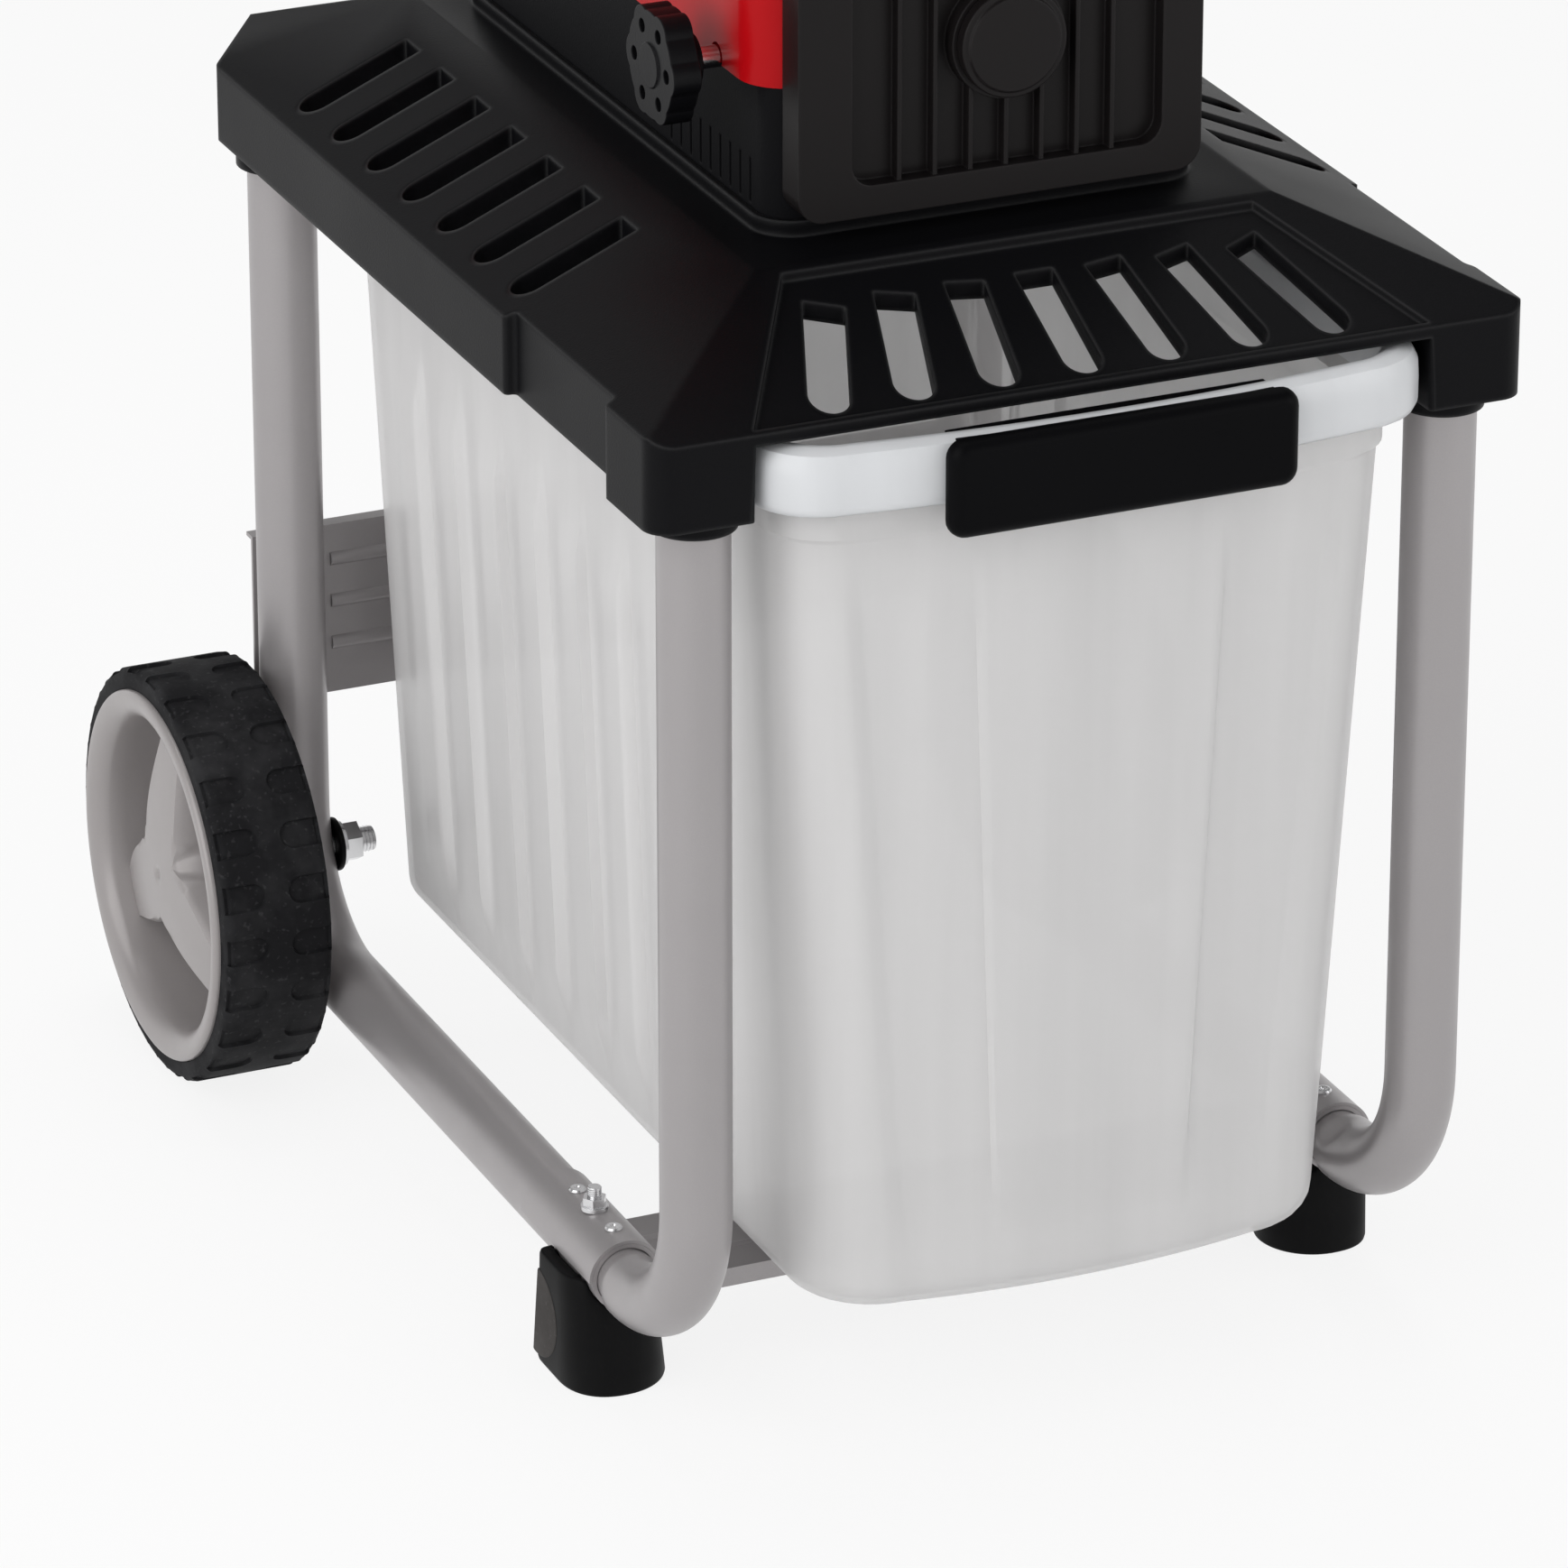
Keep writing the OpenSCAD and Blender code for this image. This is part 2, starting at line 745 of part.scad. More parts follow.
module axle() {
    color("#b9babc") {
        rod_x(axle_end_x, axle_head_x + 1, axle_y, axle_z, axle_d);
        rod_x(axle_head_x, axle_head_x + axle_head_t, axle_y, axle_z, 2 * axle_d);
    }
}

module axle_washers() {
    color("#1a1a1a") both_sides() difference() {
        rod_x(leg_x - tube_r - washer_t, leg_x - tube_r, axle_y, axle_z, washer_d);
        rod_x(0, leg_x, axle_y, axle_z, axle_d + 2 * seat_gap);
    }
}

module axle_nuts() {
    seat = leg_x - tube_r - washer_t;
    color("#c4c5c7") both_sides() difference() {
        union() {
            rod_x(seat - 2, seat, axle_y, axle_z, nut_d + 2);
            translate([seat - nut_h, axle_y, axle_z]) rotate([0, 90, 0])
                cylinder(d = nut_d, h = nut_h, $fn = 6);
        }
        rod_x(0, leg_x, axle_y, axle_z, axle_d + 2 * seat_gap);
    }
}

module wheel() {
    bore_r = axle_d / 2 + run_gap;
    boss_x0 = slide_gap - wheel_gap;
    boss_x1 = axle_head_x - wheel_x - slide_gap;
    barrel_r = rim_r - barrel_t;
    pocket_h = axle_head_t + 2 * slide_gap;
    color("#8f8d8b") translate([wheel_x, axle_y, axle_z]) rotate([0, 90, 0]) difference() {
        rotate_extrude() {
            translate([barrel_r, rim_lip]) square([barrel_t - slide_gap, tyre_w - rim_lip + rim_out]);
            polygon([[hub_r - 3, spoke_back + disc_t], [barrel_r + 1, spoke_back],
                [barrel_r + 1, spoke_back + disc_t], [hub_r + 14, boss_x1 - 2], [hub_r - 3, boss_x1 - 2]]);
            difference() {
                translate([0, boss_x0]) square([hub_r, boss_x1 + pocket_h + hub_cap_t - boss_x0]);
                translate([-1, boss_x0 - 1]) square([bore_r + 1, boss_x1 - boss_x0 + 2]);
                translate([-1, boss_x1]) square([axle_d + slide_gap + 1, pocket_h]);
            }
        }
        for (i = [0:2]) rotate(120 * i) translate([0, 0, -1]) linear_extrude(tyre_w) wheel_opening();
    }
}

module wheel_opening() polygon([for (p = [[open_r0, -open_turn], [open_r1, -open_turn], [open_r1, open_turn],
    [open_r0, open_turn]]) polar(p[0], p[1])]);

module tyre() {
    shoulder = 5;
    color("#1d1c1c") translate([wheel_x, axle_y, axle_z]) rotate([0, 90, 0]) rotate_extrude()
        difference() {
            round_rect(rim_r - shoulder, wheel_r, 0, tyre_w, shoulder);
            translate([rim_r - 2 * shoulder, -1]) square([2 * shoulder, tyre_w + 2]);
        }
}

// Collection box

// Points of the box outline, grown by a distance, with its front bulging by a given depth
function box_outline(half, y0, y1, bulge, r) = concat(
    [for (i = [0:8]) let (x = -half + r + i * (half - r) / 4) [x, y0 - bulge * (1 - pow(x / (half - r), 2))]],
    [for (a = [-80:16:0]) [half - r + r * cos(a), y0 + r + r * sin(a)]],
    [for (a = [0:18:90]) [half - r / 2 + r / 2 * cos(a), y1 - r / 2 + r / 2 * sin(a)]],
    [for (a = [90:18:180]) [-half + r / 2 + r / 2 * cos(a), y1 - r / 2 + r / 2 * sin(a)]],
    [for (a = [180:16:260]) [-half + r + r * cos(a), y0 + r + r * sin(a)]]);

module box_slice(z, h, grow, side_in, front_in, r) translate([0, 0, z]) linear_extrude(h)
    polygon(box_outline(box_x + grow - side_in, box_y0 - grow + front_in, box_y1 + min(grow, 0),
        box_bulge, r));

module box_hollow(grow, z0, z1) hull() {
    box_slice(z0, slice_t, grow - floor_round, box_taper, front_taper, floor_corner);
    box_slice(z0 + floor_rise, slice_t, grow, box_taper, front_taper, floor_corner);
    box_slice(z1 - slice_t, slice_t, grow, 0, 0, box_corner);
}

module collection_box() {
    color([0.86, 0.87, 0.88, 0.6]) difference() {
        union() {
            box_hollow(0, box_z, rim_top);
            difference() {
                box_slice(rim_z, rim_h, rim_w, 0, 0, box_corner);
                box_slice(rim_z - 1, rim_h + 1 - box_wall, rim_w - box_wall, 0, 0, box_corner);
            }
        }
        box_hollow(-box_wall, box_z + box_wall, rim_top + 1);
    }
}

module box_handle() {
    r = handle_corner;
    lip_y1 = handle_y1 + hook_len;
    color("#141416") difference() {
        union() {
            extrude_y(handle_y0, handle_t)
                round_rect(-handle_w / 2, handle_w / 2, handle_z1 - handle_h, handle_z1, r);
            box(r - handle_w / 2, handle_w / 2 - r, handle_y1 - 1, lip_y1, rim_top + slide_gap, handle_z1);
        }
        for (x = [-handle_w / 4, handle_w / 4]) rod_z(x, lip_y1 - 5, rim_top, handle_z1 + 1, 4);
    }
}

// Machine casing

module body_outline(grow)
    round_rect(-casing_x - grow, casing_x + grow, casing_y0 - grow, body_y1 + grow, casing_corner + grow);

module lower_casing() {
    vents = 9;
    color("#161617") difference() {
        translate([0, 0, deck_top + seat_gap]) linear_extrude(casing_h - seat_gap) body_outline(0);
        translate([0, 0, floor_z]) linear_extrude(casing_h) body_outline(-casing_wall);
        box(-throat_x, throat_x, throat_y0, throat_y1, deck_top, floor_z + 1);
        both_sides() for (i = [0:vents - 1]) {
            y = casing_y0 + vent_y + i * vent_pitch;
            z = floor_z + vent_z;
            box(casing_x - 2 * casing_wall, casing_x + 1, y, y + vent_w, z, z + vent_h);
        }
        rod_x(-casing_x - 1, 0, roller_mid, adjust_z, screw_d + 2);
    }
}

module housing_slice(z, side_in, front_in) {
    half = housing_x - side_in;
    translate([0, 0, z]) linear_extrude(1)
        round_rect(-half, half, casing_y0 + front_in, housing_y1 - side_in, housing_corner);
}

module housing_form(inset) hull() {
    housing_slice(split_z + inset, inset, inset);
    housing_slice(housing_top - crown - inset, inset, inset);
    housing_slice(housing_top - inset - 1, crown, crown / 2);
}

module upper_housing() {
    hole_x = throat_x + throat_wall + seat_gap;
    hole_y0 = throat_y0 - throat_wall - seat_gap;
    hole_y1 = throat_y1 + throat_wall + seat_gap;
    bar_socket_d = bar_d + 2 * (seat_gap + socket_wall);
    color("#c4161c") difference() {
        union() {
            difference() {
                housing_form(0);
                housing_form(casing_wall);
            }
            for (s = [-1, 1]) rod_y(s * bar_x, body_y1 - bar_in, housing_y1 - 1, bar_z, bar_socket_d);
        }
        translate([0, 0, split_z - 1]) linear_extrude(casing_wall + 2) body_outline(-casing_wall);
        box(-hole_x, hole_x, hole_y0, hole_y1, housing_top - crown, housing_top + 1);
        rod_x(-housing_x - 1, 0, roller_mid, adjust_z, screw_d + 2);
        for (x = button_xs) rod_z(x, button_y, housing_top - 10, housing_top + 1, button_d);
        rod_y(0, body_y1 - 10, housing_y1 + 1, inlet_z, inlet_d + 2 * seat_gap);
        for (s = [-1, 1]) rod_y(s * bar_x, body_y1 - bar_in + 5, housing_y1 + 1, bar_z, bar_d + 2 * seat_gap);
        cover_screw_holes(casing_y0 - 1, casing_y0 + screw_grip + 1);
    }
}

module cover_screw_places() {
    for (side = [-1, 1]) translate([side * (cover_w / 2 - screw_in), 0, cover_z1 - screw_in]) children();
}

module cover_screw_holes(y0, y1) {
    cover_screw_places() rod_y(0, y0, y1, 0, cover_screw_d + 2 * seat_gap);
}

module front_cover() {
    half = cover_w / 2;
    inner_x = half - cover_frame;
    floor_y = body_y0 + cover_floor;
    color("#19191a") difference() {
        union() {
            difference() {
                extrude_y(body_y0, cover_depth) round_rect(-half, half, cover_z0, cover_z1, cover_corner);
                extrude_y(floor_y + casing_wall, cover_depth)
                    round_rect(casing_wall - half, half - casing_wall,
                        cover_z0 + casing_wall, cover_z1 - casing_wall, cover_corner - casing_wall);
                extrude_y(body_y0 - 1, floor_y - body_y0 + 1)
                    round_rect(cover_mid - inner_x, cover_mid + inner_x,
                        cover_z0 + cover_foot, cover_z1 - cover_foot, cover_recess_r);
            }
            for (i = [0:cover_ribs - 1]) {
                x = cover_mid + (i - (cover_ribs - 1) / 2) * cover_rib_pitch;
                box(x - cover_rib_t / 2, x + cover_rib_t / 2, body_y0 + cover_rib_in, floor_y + 1,
                    cover_z0 + cover_foot - 1, cover_z1 - cover_foot + 1);
            }
            rod_y(cover_mid, body_y0, floor_y + 1, roller_z, cap_d + 4);
            cover_screw_places() rod_y(0, body_y0 + 1, cover_y1, 0, 2 * cover_screw_d + 2);
        }
        cover_screw_holes(body_y0 - 1, cover_y1 + 1);
        cover_screw_places() rod_y(0, body_y0 - 1, body_y0 + head_seat, 0, screw_head_d + 1);
    }
}

module cover_cap() {
    color("#19191a") {
        rod_y(cover_mid, body_y0 - cap_t, body_y0, roller_z, cap_d);
        rod_y(cover_mid, body_y0 - cap_t - cap_step, body_y0 - cap_t + 1, roller_z, cap_d - cap_bevel);
    }
}

module cover_screws() {
    color("#6b6c6e") cover_screw_places() {
        rod_y(0, body_y0 + head_seat, casing_y0 + screw_grip, 0, cover_screw_d);
        rod_y(0, body_y0 + 1, body_y0 + head_seat, 0, screw_head_d);
    }
}

// Hopper

module throat_block(grow, z0, z1)
    box(-throat_x - grow, throat_x + grow, throat_y0 - grow, throat_y1 + grow, z0, z1);

module funnel(grow, z1) hull() {
    throat_block(grow, housing_top + hopper_foot, housing_top + hopper_foot + 1);
    translate([0, 0, z1 - hopper_upright]) linear_extrude(hopper_upright)
        round_rect(-hopper_w / 2 - grow, hopper_w / 2 + grow,
            hopper_y0 - grow, hopper_y1 + grow, hopper_corner);
}

module hopper() {
    color("#1c1c1e") difference() {
        union() {
            throat_block(throat_wall, chamber_top + seat_gap, housing_top + hopper_foot + 1);
            throat_block(throat_wall + hopper_foot, housing_top + seat_gap, housing_top + hopper_foot_t);
            funnel(0, hopper_top);
            translate([0, 0, hopper_top - hopper_rim_h]) linear_extrude(hopper_rim_h)
                round_rect(-hopper_w / 2 - hopper_rim, hopper_w / 2 + hopper_rim,
                    hopper_y0 - hopper_rim, hopper_y1 + hopper_rim, hopper_corner + hopper_rim);
        }
        throat_block(0, chamber_top, housing_top + hopper_foot + 2);
        funnel(-hopper_wall, hopper_top + 1);
    }
}

// Rubber curtain with slits, hanging in the throat
module splash_flap() {
    slits = 5;
    half = throat_x - slide_gap;
    y0 = throat_y0 + slide_gap;
    color("#202020") difference() {
        union() {
            box(-half, half, y0, y0 + flap_t, chamber_top + 20, housing_top + 10);
            box(-half, half, y0, y0 + 4 * flap_t, housing_top + 6, housing_top + 10);
        }
        for (i = [1:slits]) {
            x = throat_x * (2 * i / (slits + 1) - 1);
            box(x - slit_w / 2, x + slit_w / 2, throat_y0, throat_y0 + 9, chamber_top + 19, housing_top - 8);
        }
    }
}

// Cutting unit

module cutting_chamber() {
    inner_x = chamber_x - chamber_wall;
    color("#b4b5b6") difference() {
        box(-chamber_x, chamber_x, chamber_y0, chamber_y1, floor_z, chamber_top);
        box(-inner_x, inner_x, chamber_in0, chamber_in1, floor_z - 1, chamber_top + 1);
        rod_y(0, chamber_y0 - 1, chamber_y1 + 1, roller_z, bearing_d + 2 * seat_gap);
        rod_x(-chamber_x - 1, 0, roller_mid, adjust_z, bush_d + 2 * seat_gap);
        idler_bores(chamber_y1 - 6, chamber_y1 + 1);
    }
}

module idler_bores(y0, y1) both_sides() rod_y(idler_dx, y0, y1, roller_z + idler_dz, idler_d + 2 * run_gap);

module bearing(y0) difference() {
    rod_y(0, y0, y0 + bearing_w, roller_z, bearing_d);
    rod_y(0, y0 - 1, y0 + bearing_w + 1, roller_z, shaft_d + 2 * run_gap);
    for (y = [y0 - 1, y0 + bearing_w - 1]) difference() {
        rod_y(0, y, y + 2, roller_z, bearing_d - 7);
        rod_y(0, y - 1, y + 3, roller_z, shaft_d + 6);
    }
}

module roller_bearings() color("#c9cbcd") {
    bearing(chamber_y0);
    bearing(chamber_in1);
}

module cutting_roller() {
    step = 360 / roller_teeth;
    tip = roller_d / 2;
    color("#7c7d7f") difference() {
        extrude_y(roller_y0, roller_len) translate([0, roller_z]) polygon([for (i = [0:roller_teeth - 1])
            for (p = [[roller_root, 0], [tip, 0.30], [tip, 0.48], [roller_root, 0.62]])
                p[0] * [cos((i + p[1]) * step), sin((i + p[1]) * step)]]);
        rod_y(0, roller_y0 - 1, roller_y1 + 1, roller_z, shaft_d + 2 * seat_gap);
    }
}

module roller_shaft() color("#aeb0b2") {
    rod_y(0, chamber_y0 + 1, gear_y[0] + gear_t + 1, roller_z, shaft_d);
    rod_y(0, roller_y0 - 3, roller_y0 - seat_gap, roller_z, shaft_d + 8);
    rod_y(0, roller_y1 + seat_gap, roller_y1 + 3, roller_z, shaft_d + 8);
}

// Gear train: tooth flanks are involutes

function polar(r, a) = r * [cos(a), sin(a)];

function involute(a) = tan(a) * 180 / PI - a;

function flank_angle(n, r) = let (pitch_r = gear_module * n / 2, base_r = pitch_r * cos(tooth_angle))
    90 / n - tooth_slack / pitch_r * 180 / PI + involute(tooth_angle)
        - (r > base_r ? involute(acos(base_r / r)) : 0);

function tooth_radii(n) = let (pitch_r = gear_module * n / 2, base_r = pitch_r * cos(tooth_angle),
    r0 = max(base_r, pitch_r - tooth_ded), r1 = pitch_r + tooth_add) [for (i = [0:3]) r0 + (r1 - r0) * i / 3];

module gear_outline(n, turn) {
    root = gear_module * n / 2 - tooth_ded;
    radii = tooth_radii(n);
    foot_angle = flank_angle(n, radii[0]);
    polygon([for (i = [0:n - 1]) let (mid = turn + i * 360 / n) each concat(
        [polar(root, mid - foot_angle)],
        [for (r = radii) polar(r, mid - flank_angle(n, r))],
        [for (k = [3:-1:0]) polar(radii[k], mid + flank_angle(n, radii[k]))],
        [polar(root, mid + foot_angle)])]);
}

// A pinion has a tooth on the line to its mate, a wheel gear has a gap there
module pinion(x, z, y, line) extrude_y(y, gear_t) translate([x, z]) gear_outline(pinion_teeth, line);

module wheel_gear(x, z, y, line) extrude_y(y, gear_t) translate([x, z])
    gear_outline(gear_teeth, line + 180 / gear_teeth);

module output_gear() color("#8a8c8e") difference() {
    wheel_gear(0, roller_z, gear_y[0], 60);
    rod_y(0, gear_y[0] - 1, gear_y[0] + gear_t + 1, roller_z, shaft_d + 2 * seat_gap);
    for (a = [0:60:300])
        rod_y(24 * cos(a), gear_y[0] - 1, gear_y[0] + gear_t + 1, roller_z + 24 * sin(a), 12);
}

module idler_shaft(x) rod_y(x, chamber_y1 - 5, gearbox_y1 + 5, roller_z + idler_dz, idler_d);

module second_idler() color("#97999b") {
    idler_shaft(idler_dx);
    pinion(idler_dx, roller_z + idler_dz, gear_y[0], 240);
    wheel_gear(idler_dx, roller_z + idler_dz, gear_y[1], 180);
}

module first_idler() color("#97999b") {
    idler_shaft(-idler_dx);
    pinion(-idler_dx, roller_z + idler_dz, gear_y[1], 0);
    wheel_gear(-idler_dx, roller_z + idler_dz, gear_y[2], 300);
}

module gearbox_case() {
    color("#aaabac") difference() {
        box(-gearbox_x, gearbox_x, chamber_y1, gearbox_y1, gearbox_z0, gearbox_z1);
        box(-gearbox_x + gearbox_wall, gearbox_x - gearbox_wall, chamber_y1 - 1, gearbox_y1 + 1,
            gearbox_z0 + gearbox_wall, gearbox_z1 - gearbox_wall);
    }
}

// Motor

module motor_flange() {
    color("#aaabac") difference() {
        box(-gearbox_x, gearbox_x, gearbox_y1, motor_y0, gearbox_z0, gearbox_z1);
        rod_y(0, gearbox_y1 - 1, motor_y0 + 1, roller_z, bearing_d + 2 * seat_gap);
        idler_bores(gearbox_y1 - 1, gearbox_y1 + 6);
    }
}

module motor_shell() color("#6f7173") difference() {
    rod_y(0, motor_y0, motor_y1, roller_z, stator_d + 2 * (shell_t + seat_gap));
    rod_y(0, motor_y0 - 1, motor_y1 + 1, roller_z, stator_d + 2 * seat_gap);
}

module motor_stator() {
    color("#8b6b4a") difference() {
        union() {
            rod_y(0, stack_y0, stack_y1, roller_z, stator_d);
            rod_y(0, stack_y0 - winding_len, stack_y1 + winding_len, roller_z, stator_d - 12);
        }
        rod_y(0, stack_y0 - winding_len - 1, stack_y1 + winding_len + 1, roller_z, 2 * rotor_r + 1.2);
    }
}

module motor_rotor() color("#85878a") difference() {
    rod_y(0, stack_y0, stack_y1, roller_z, 2 * rotor_r);
    rod_y(0, stack_y0 - 1, stack_y1 + 1, roller_z, shaft_d + 2 * seat_gap);
}

module motor_shaft() color("#aeb0b2") {
    rod_y(0, gear_y[2] + gear_t - 1, fan_y0 + fan_t + 4, roller_z, shaft_d);
    pinion(0, roller_z, gear_y[2], 120);
}

module motor_fan() {
    blades = 8;
    color("#2a2a2c") difference() {
        union() {
            rod_y(0, fan_y0, fan_y0 + 3, roller_z, 2 * fan_r);
            rod_y(0, fan_y0, fan_y0 + fan_t, roller_z, shaft_d + 12);
            translate([0, fan_y0, roller_z]) for (i = [0:blades - 1]) rotate([0, i * 360 / blades, 0])
                box(shaft_d / 2 + 3, fan_r - 1, 2, fan_t - 1, -1.2, 1.2);
        }
        rod_y(0, fan_y0 - 1, fan_y0 + fan_t + 1, roller_z, shaft_d + 2 * seat_gap);
    }
}

module rear_shield() color("#aaabac") difference() {
    rod_y(0, motor_y1, motor_y1 + shield_t, roller_z, stator_d + 2 * (shell_t + seat_gap));
    rod_y(0, motor_y1 - 1, motor_y1 + shield_t + 1, roller_z, bearing_d + 2 * seat_gap);
}

module motor_bearings() color("#c9cbcd") {
    bearing(gearbox_y1);
    bearing(motor_y1);
}

module start_capacitor() {
    d = 38;
    z = roller_z + motor_r + shell_t + 2 * seat_gap + d / 2;
    color("#d8d8d4") {
        rod_y(0, stack_y0, stack_y0 + 78, z, d);
        rod_y(0, stack_y0 - 4, stack_y0 + 1, z, d - 10);
    }
}

// Counter plate and its adjuster

module counter_plate() {
    x1 = counter_x;
    x0 = x1 - counter_t;
    z0 = adjust_z - counter_h / 2;
    color("#909294") difference() {
        box(x0, x1, chamber_in0 + slide_gap, chamber_in1 - slide_gap, z0, z0 + counter_h);
        rod_x(x0 - 1, x0 + 5, roller_mid, adjust_z, screw_d + 2 * run_gap);
        for (z = [-24:12:24]) rod_y(x1 + 1.5, chamber_in0, chamber_in1, adjust_z + z, 5);
    }
}

module adjusting_screw() color("#c8c9cb")
    rod_x(knob_x1 - knob_t + 6, counter_x - counter_t + 5, roller_mid, adjust_z, screw_d);

module threaded_bush() color("#b08d4a") difference() {
    union() {
        rod_x(bush_x0, -chamber_x + chamber_wall, roller_mid, adjust_z, bush_d);
        translate([bush_x0, roller_mid, adjust_z]) rotate([0, 90, 0])
            cylinder(d = bush_d + 8, h = -chamber_x - bush_x0, $fn = 6);
    }
    rod_x(bush_x0 - 1, 0, roller_mid, adjust_z, screw_d + 2 * run_gap);
}

module adjusting_knob() {
    lobe_r = 9;
    ring_r = knob_d / 2 - lobe_r;
    color("#1f1f21") difference() {
        union() {
            extrude_x(knob_x0, 13) translate([roller_mid, adjust_z]) {
                circle(knob_d / 2 - knob_scallop);
                for (i = [0:knob_lobes - 1])
                    rotate(i * 360 / knob_lobes) translate([ring_r, 0]) circle(lobe_r);
            }
            rod_x(knob_x0 + 12, knob_x1, roller_mid, adjust_z, screw_d + 14);
            rod_x(knob_x0 - 1, knob_x0 + 1, roller_mid, adjust_z, 20);
        }
        rod_x(knob_x0 + 6, knob_x1 + 1, roller_mid, adjust_z, screw_d + 2 * seat_gap);
        translate([0, roller_mid, adjust_z]) for (i = [0:knob_lobes - 1]) rotate([i * 360 / knob_lobes, 0, 0])
            rod_x(knob_x0 - 1, knob_x0 + 9, ring_r, 0, 6);
    }
}

// Controls and connections

module panel_hole(x, d) rod_z(x, button_y, housing_top, panel_top + 1, d + 2 * slide_gap);

module control_panel() {
    color("#222224") difference() {
        translate([0, 0, housing_top + seat_gap]) linear_extrude(panel_h - seat_gap)
            round_rect(-panel_x, panel_x, panel_y0, panel_y1, panel_corner);
        translate([0, 0, housing_top]) linear_extrude(panel_h - panel_wall)
            round_rect(panel_wall - panel_x, panel_x - panel_wall,
                panel_y0 + panel_wall, panel_y1 - panel_wall, panel_corner - panel_wall);
        for (x = button_xs) panel_hole(x, button_d - 4);
        panel_hole(selector_x, 10);
        panel_hole(reset_x, reset_d);
    }
}

// The cap stands over the panel and its stem reaches through
module push_button(x, d, tint) color(tint) {
    rod_z(x, button_y, panel_top + button_travel + slide_gap, panel_top + button_travel + slide_gap + 5, d);
    rod_z(x, button_y, panel_top - button_stem + button_up, panel_top + button_up, d - 4);
}

module start_button() push_button(button_xs[0], button_d, "#1f8f3a");

module stop_button() push_button(button_xs[1], button_d, "#c01c1c");

module direction_selector() color("#2a2a2c") {
    rod_z(selector_x, button_y, panel_top + slide_gap, panel_top + 8, selector_d);
    rod_z(selector_x, button_y, panel_top - 8, panel_top + 1, 10);
    half = selector_d / 2 - 2;
    box(selector_x - 4, selector_x + 4, button_y - half, button_y + half, panel_top + 7, panel_top + 18);
}

module reset_button() color("#2a2a2c")
    rod_z(reset_x, button_y, panel_top - panel_h + 5, panel_top + button_travel + 1, reset_d);

module mains_inlet() {
    color("#232325") difference() {
        union() {
            rod_y(0, body_y1 - 16, housing_y1 + 12, inlet_z, inlet_d);
            rod_y(0, housing_y1, housing_y1 + 4, inlet_z, inlet_d + 12);
        }
        rod_y(0, body_y1, housing_y1 + 13, inlet_z, inlet_d - 8);
    }
}

module tow_bar() {
    out_y = housing_y1 + bar_out;
    color("#9c9a98") {
        both_sides() {
            rod_y(bar_x, body_y1 - bar_in + 5 + seat_gap, out_y - bar_bend, bar_z, bar_d);
            translate([bar_x - bar_bend, out_y - bar_bend, bar_z])
                rotate_extrude(angle = 90) translate([bar_bend, 0]) circle(d = bar_d);
        }
        rod_x(bar_bend - bar_x, bar_x - bar_bend, out_y, bar_z, bar_d);
    }
}

stand() base_plate();
stand() left_side() front_leg();  // front_leg_left
stand() front_leg();  // front_leg_right
stand() left_side() rear_leg();  // rear_leg_left
stand() rear_leg();  // rear_leg_right
stand() joint_sleeves();
stand() sleeve_rivets();
stand() left_side() foot();  // foot_left
stand() foot();  // foot_right
stand() foot_bolts();
stand() foot_nuts();
stand() front_cross_rail();
stand() rear_cross_plate();
stand() plate_screws();
stand() left_side() axle();  // axle_left
stand() axle();  // axle_right
stand() axle_washers();
stand() axle_nuts();
stand() left_side() wheel();  // wheel_left
stand() wheel();  // wheel_right
stand() left_side() tyre();  // tyre_left
stand() tyre();  // tyre_right
stand() collection_box();
stand() box_handle();
stand() lower_casing();
stand() upper_housing();
stand() front_cover();
stand() cover_cap();
stand() cover_screws();
stand() hopper();
stand() splash_flap();
stand() cutting_chamber();
stand() roller_bearings();
stand() cutting_roller();
stand() roller_shaft();
stand() output_gear();
stand() counter_plate();
stand() adjusting_screw();
stand() adjusting_knob();
stand() threaded_bush();
stand() gearbox_case();
stand() first_idler();
stand() second_idler();
stand() motor_flange();
stand() motor_shell();
stand() motor_stator();
stand() motor_rotor();
stand() motor_shaft();
stand() motor_fan();
stand() rear_shield();
stand() motor_bearings();
stand() start_capacitor();
stand() control_panel();
stand() start_button();
stand() stop_button();
stand() direction_selector();
stand() reset_button();
stand() mains_inlet();
stand() tow_bar();
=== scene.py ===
from math import cos, exp, pi, radians, sin, sqrt, tau

import bmesh
import bpy
from bpy.props import FloatProperty, FloatVectorProperty, IntProperty, PointerProperty
from mathutils import Matrix, Vector


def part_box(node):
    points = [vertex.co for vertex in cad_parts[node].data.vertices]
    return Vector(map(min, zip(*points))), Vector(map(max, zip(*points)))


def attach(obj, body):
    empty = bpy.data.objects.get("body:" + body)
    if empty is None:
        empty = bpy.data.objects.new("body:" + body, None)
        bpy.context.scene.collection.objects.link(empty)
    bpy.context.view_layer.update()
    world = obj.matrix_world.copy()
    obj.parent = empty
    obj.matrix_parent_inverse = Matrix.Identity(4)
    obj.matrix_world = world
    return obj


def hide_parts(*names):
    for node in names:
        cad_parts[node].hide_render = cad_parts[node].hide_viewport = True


bl_info = {
    "name": "Garden shredder",
    "version": (1, 0, 0),
    "blender": (4, 5, 0),
    "location": "View3D > Sidebar > Shredder",
    "description": "Dresses the frame of a garden shredder with its finished pieces",
    "category": "Add Mesh",
}

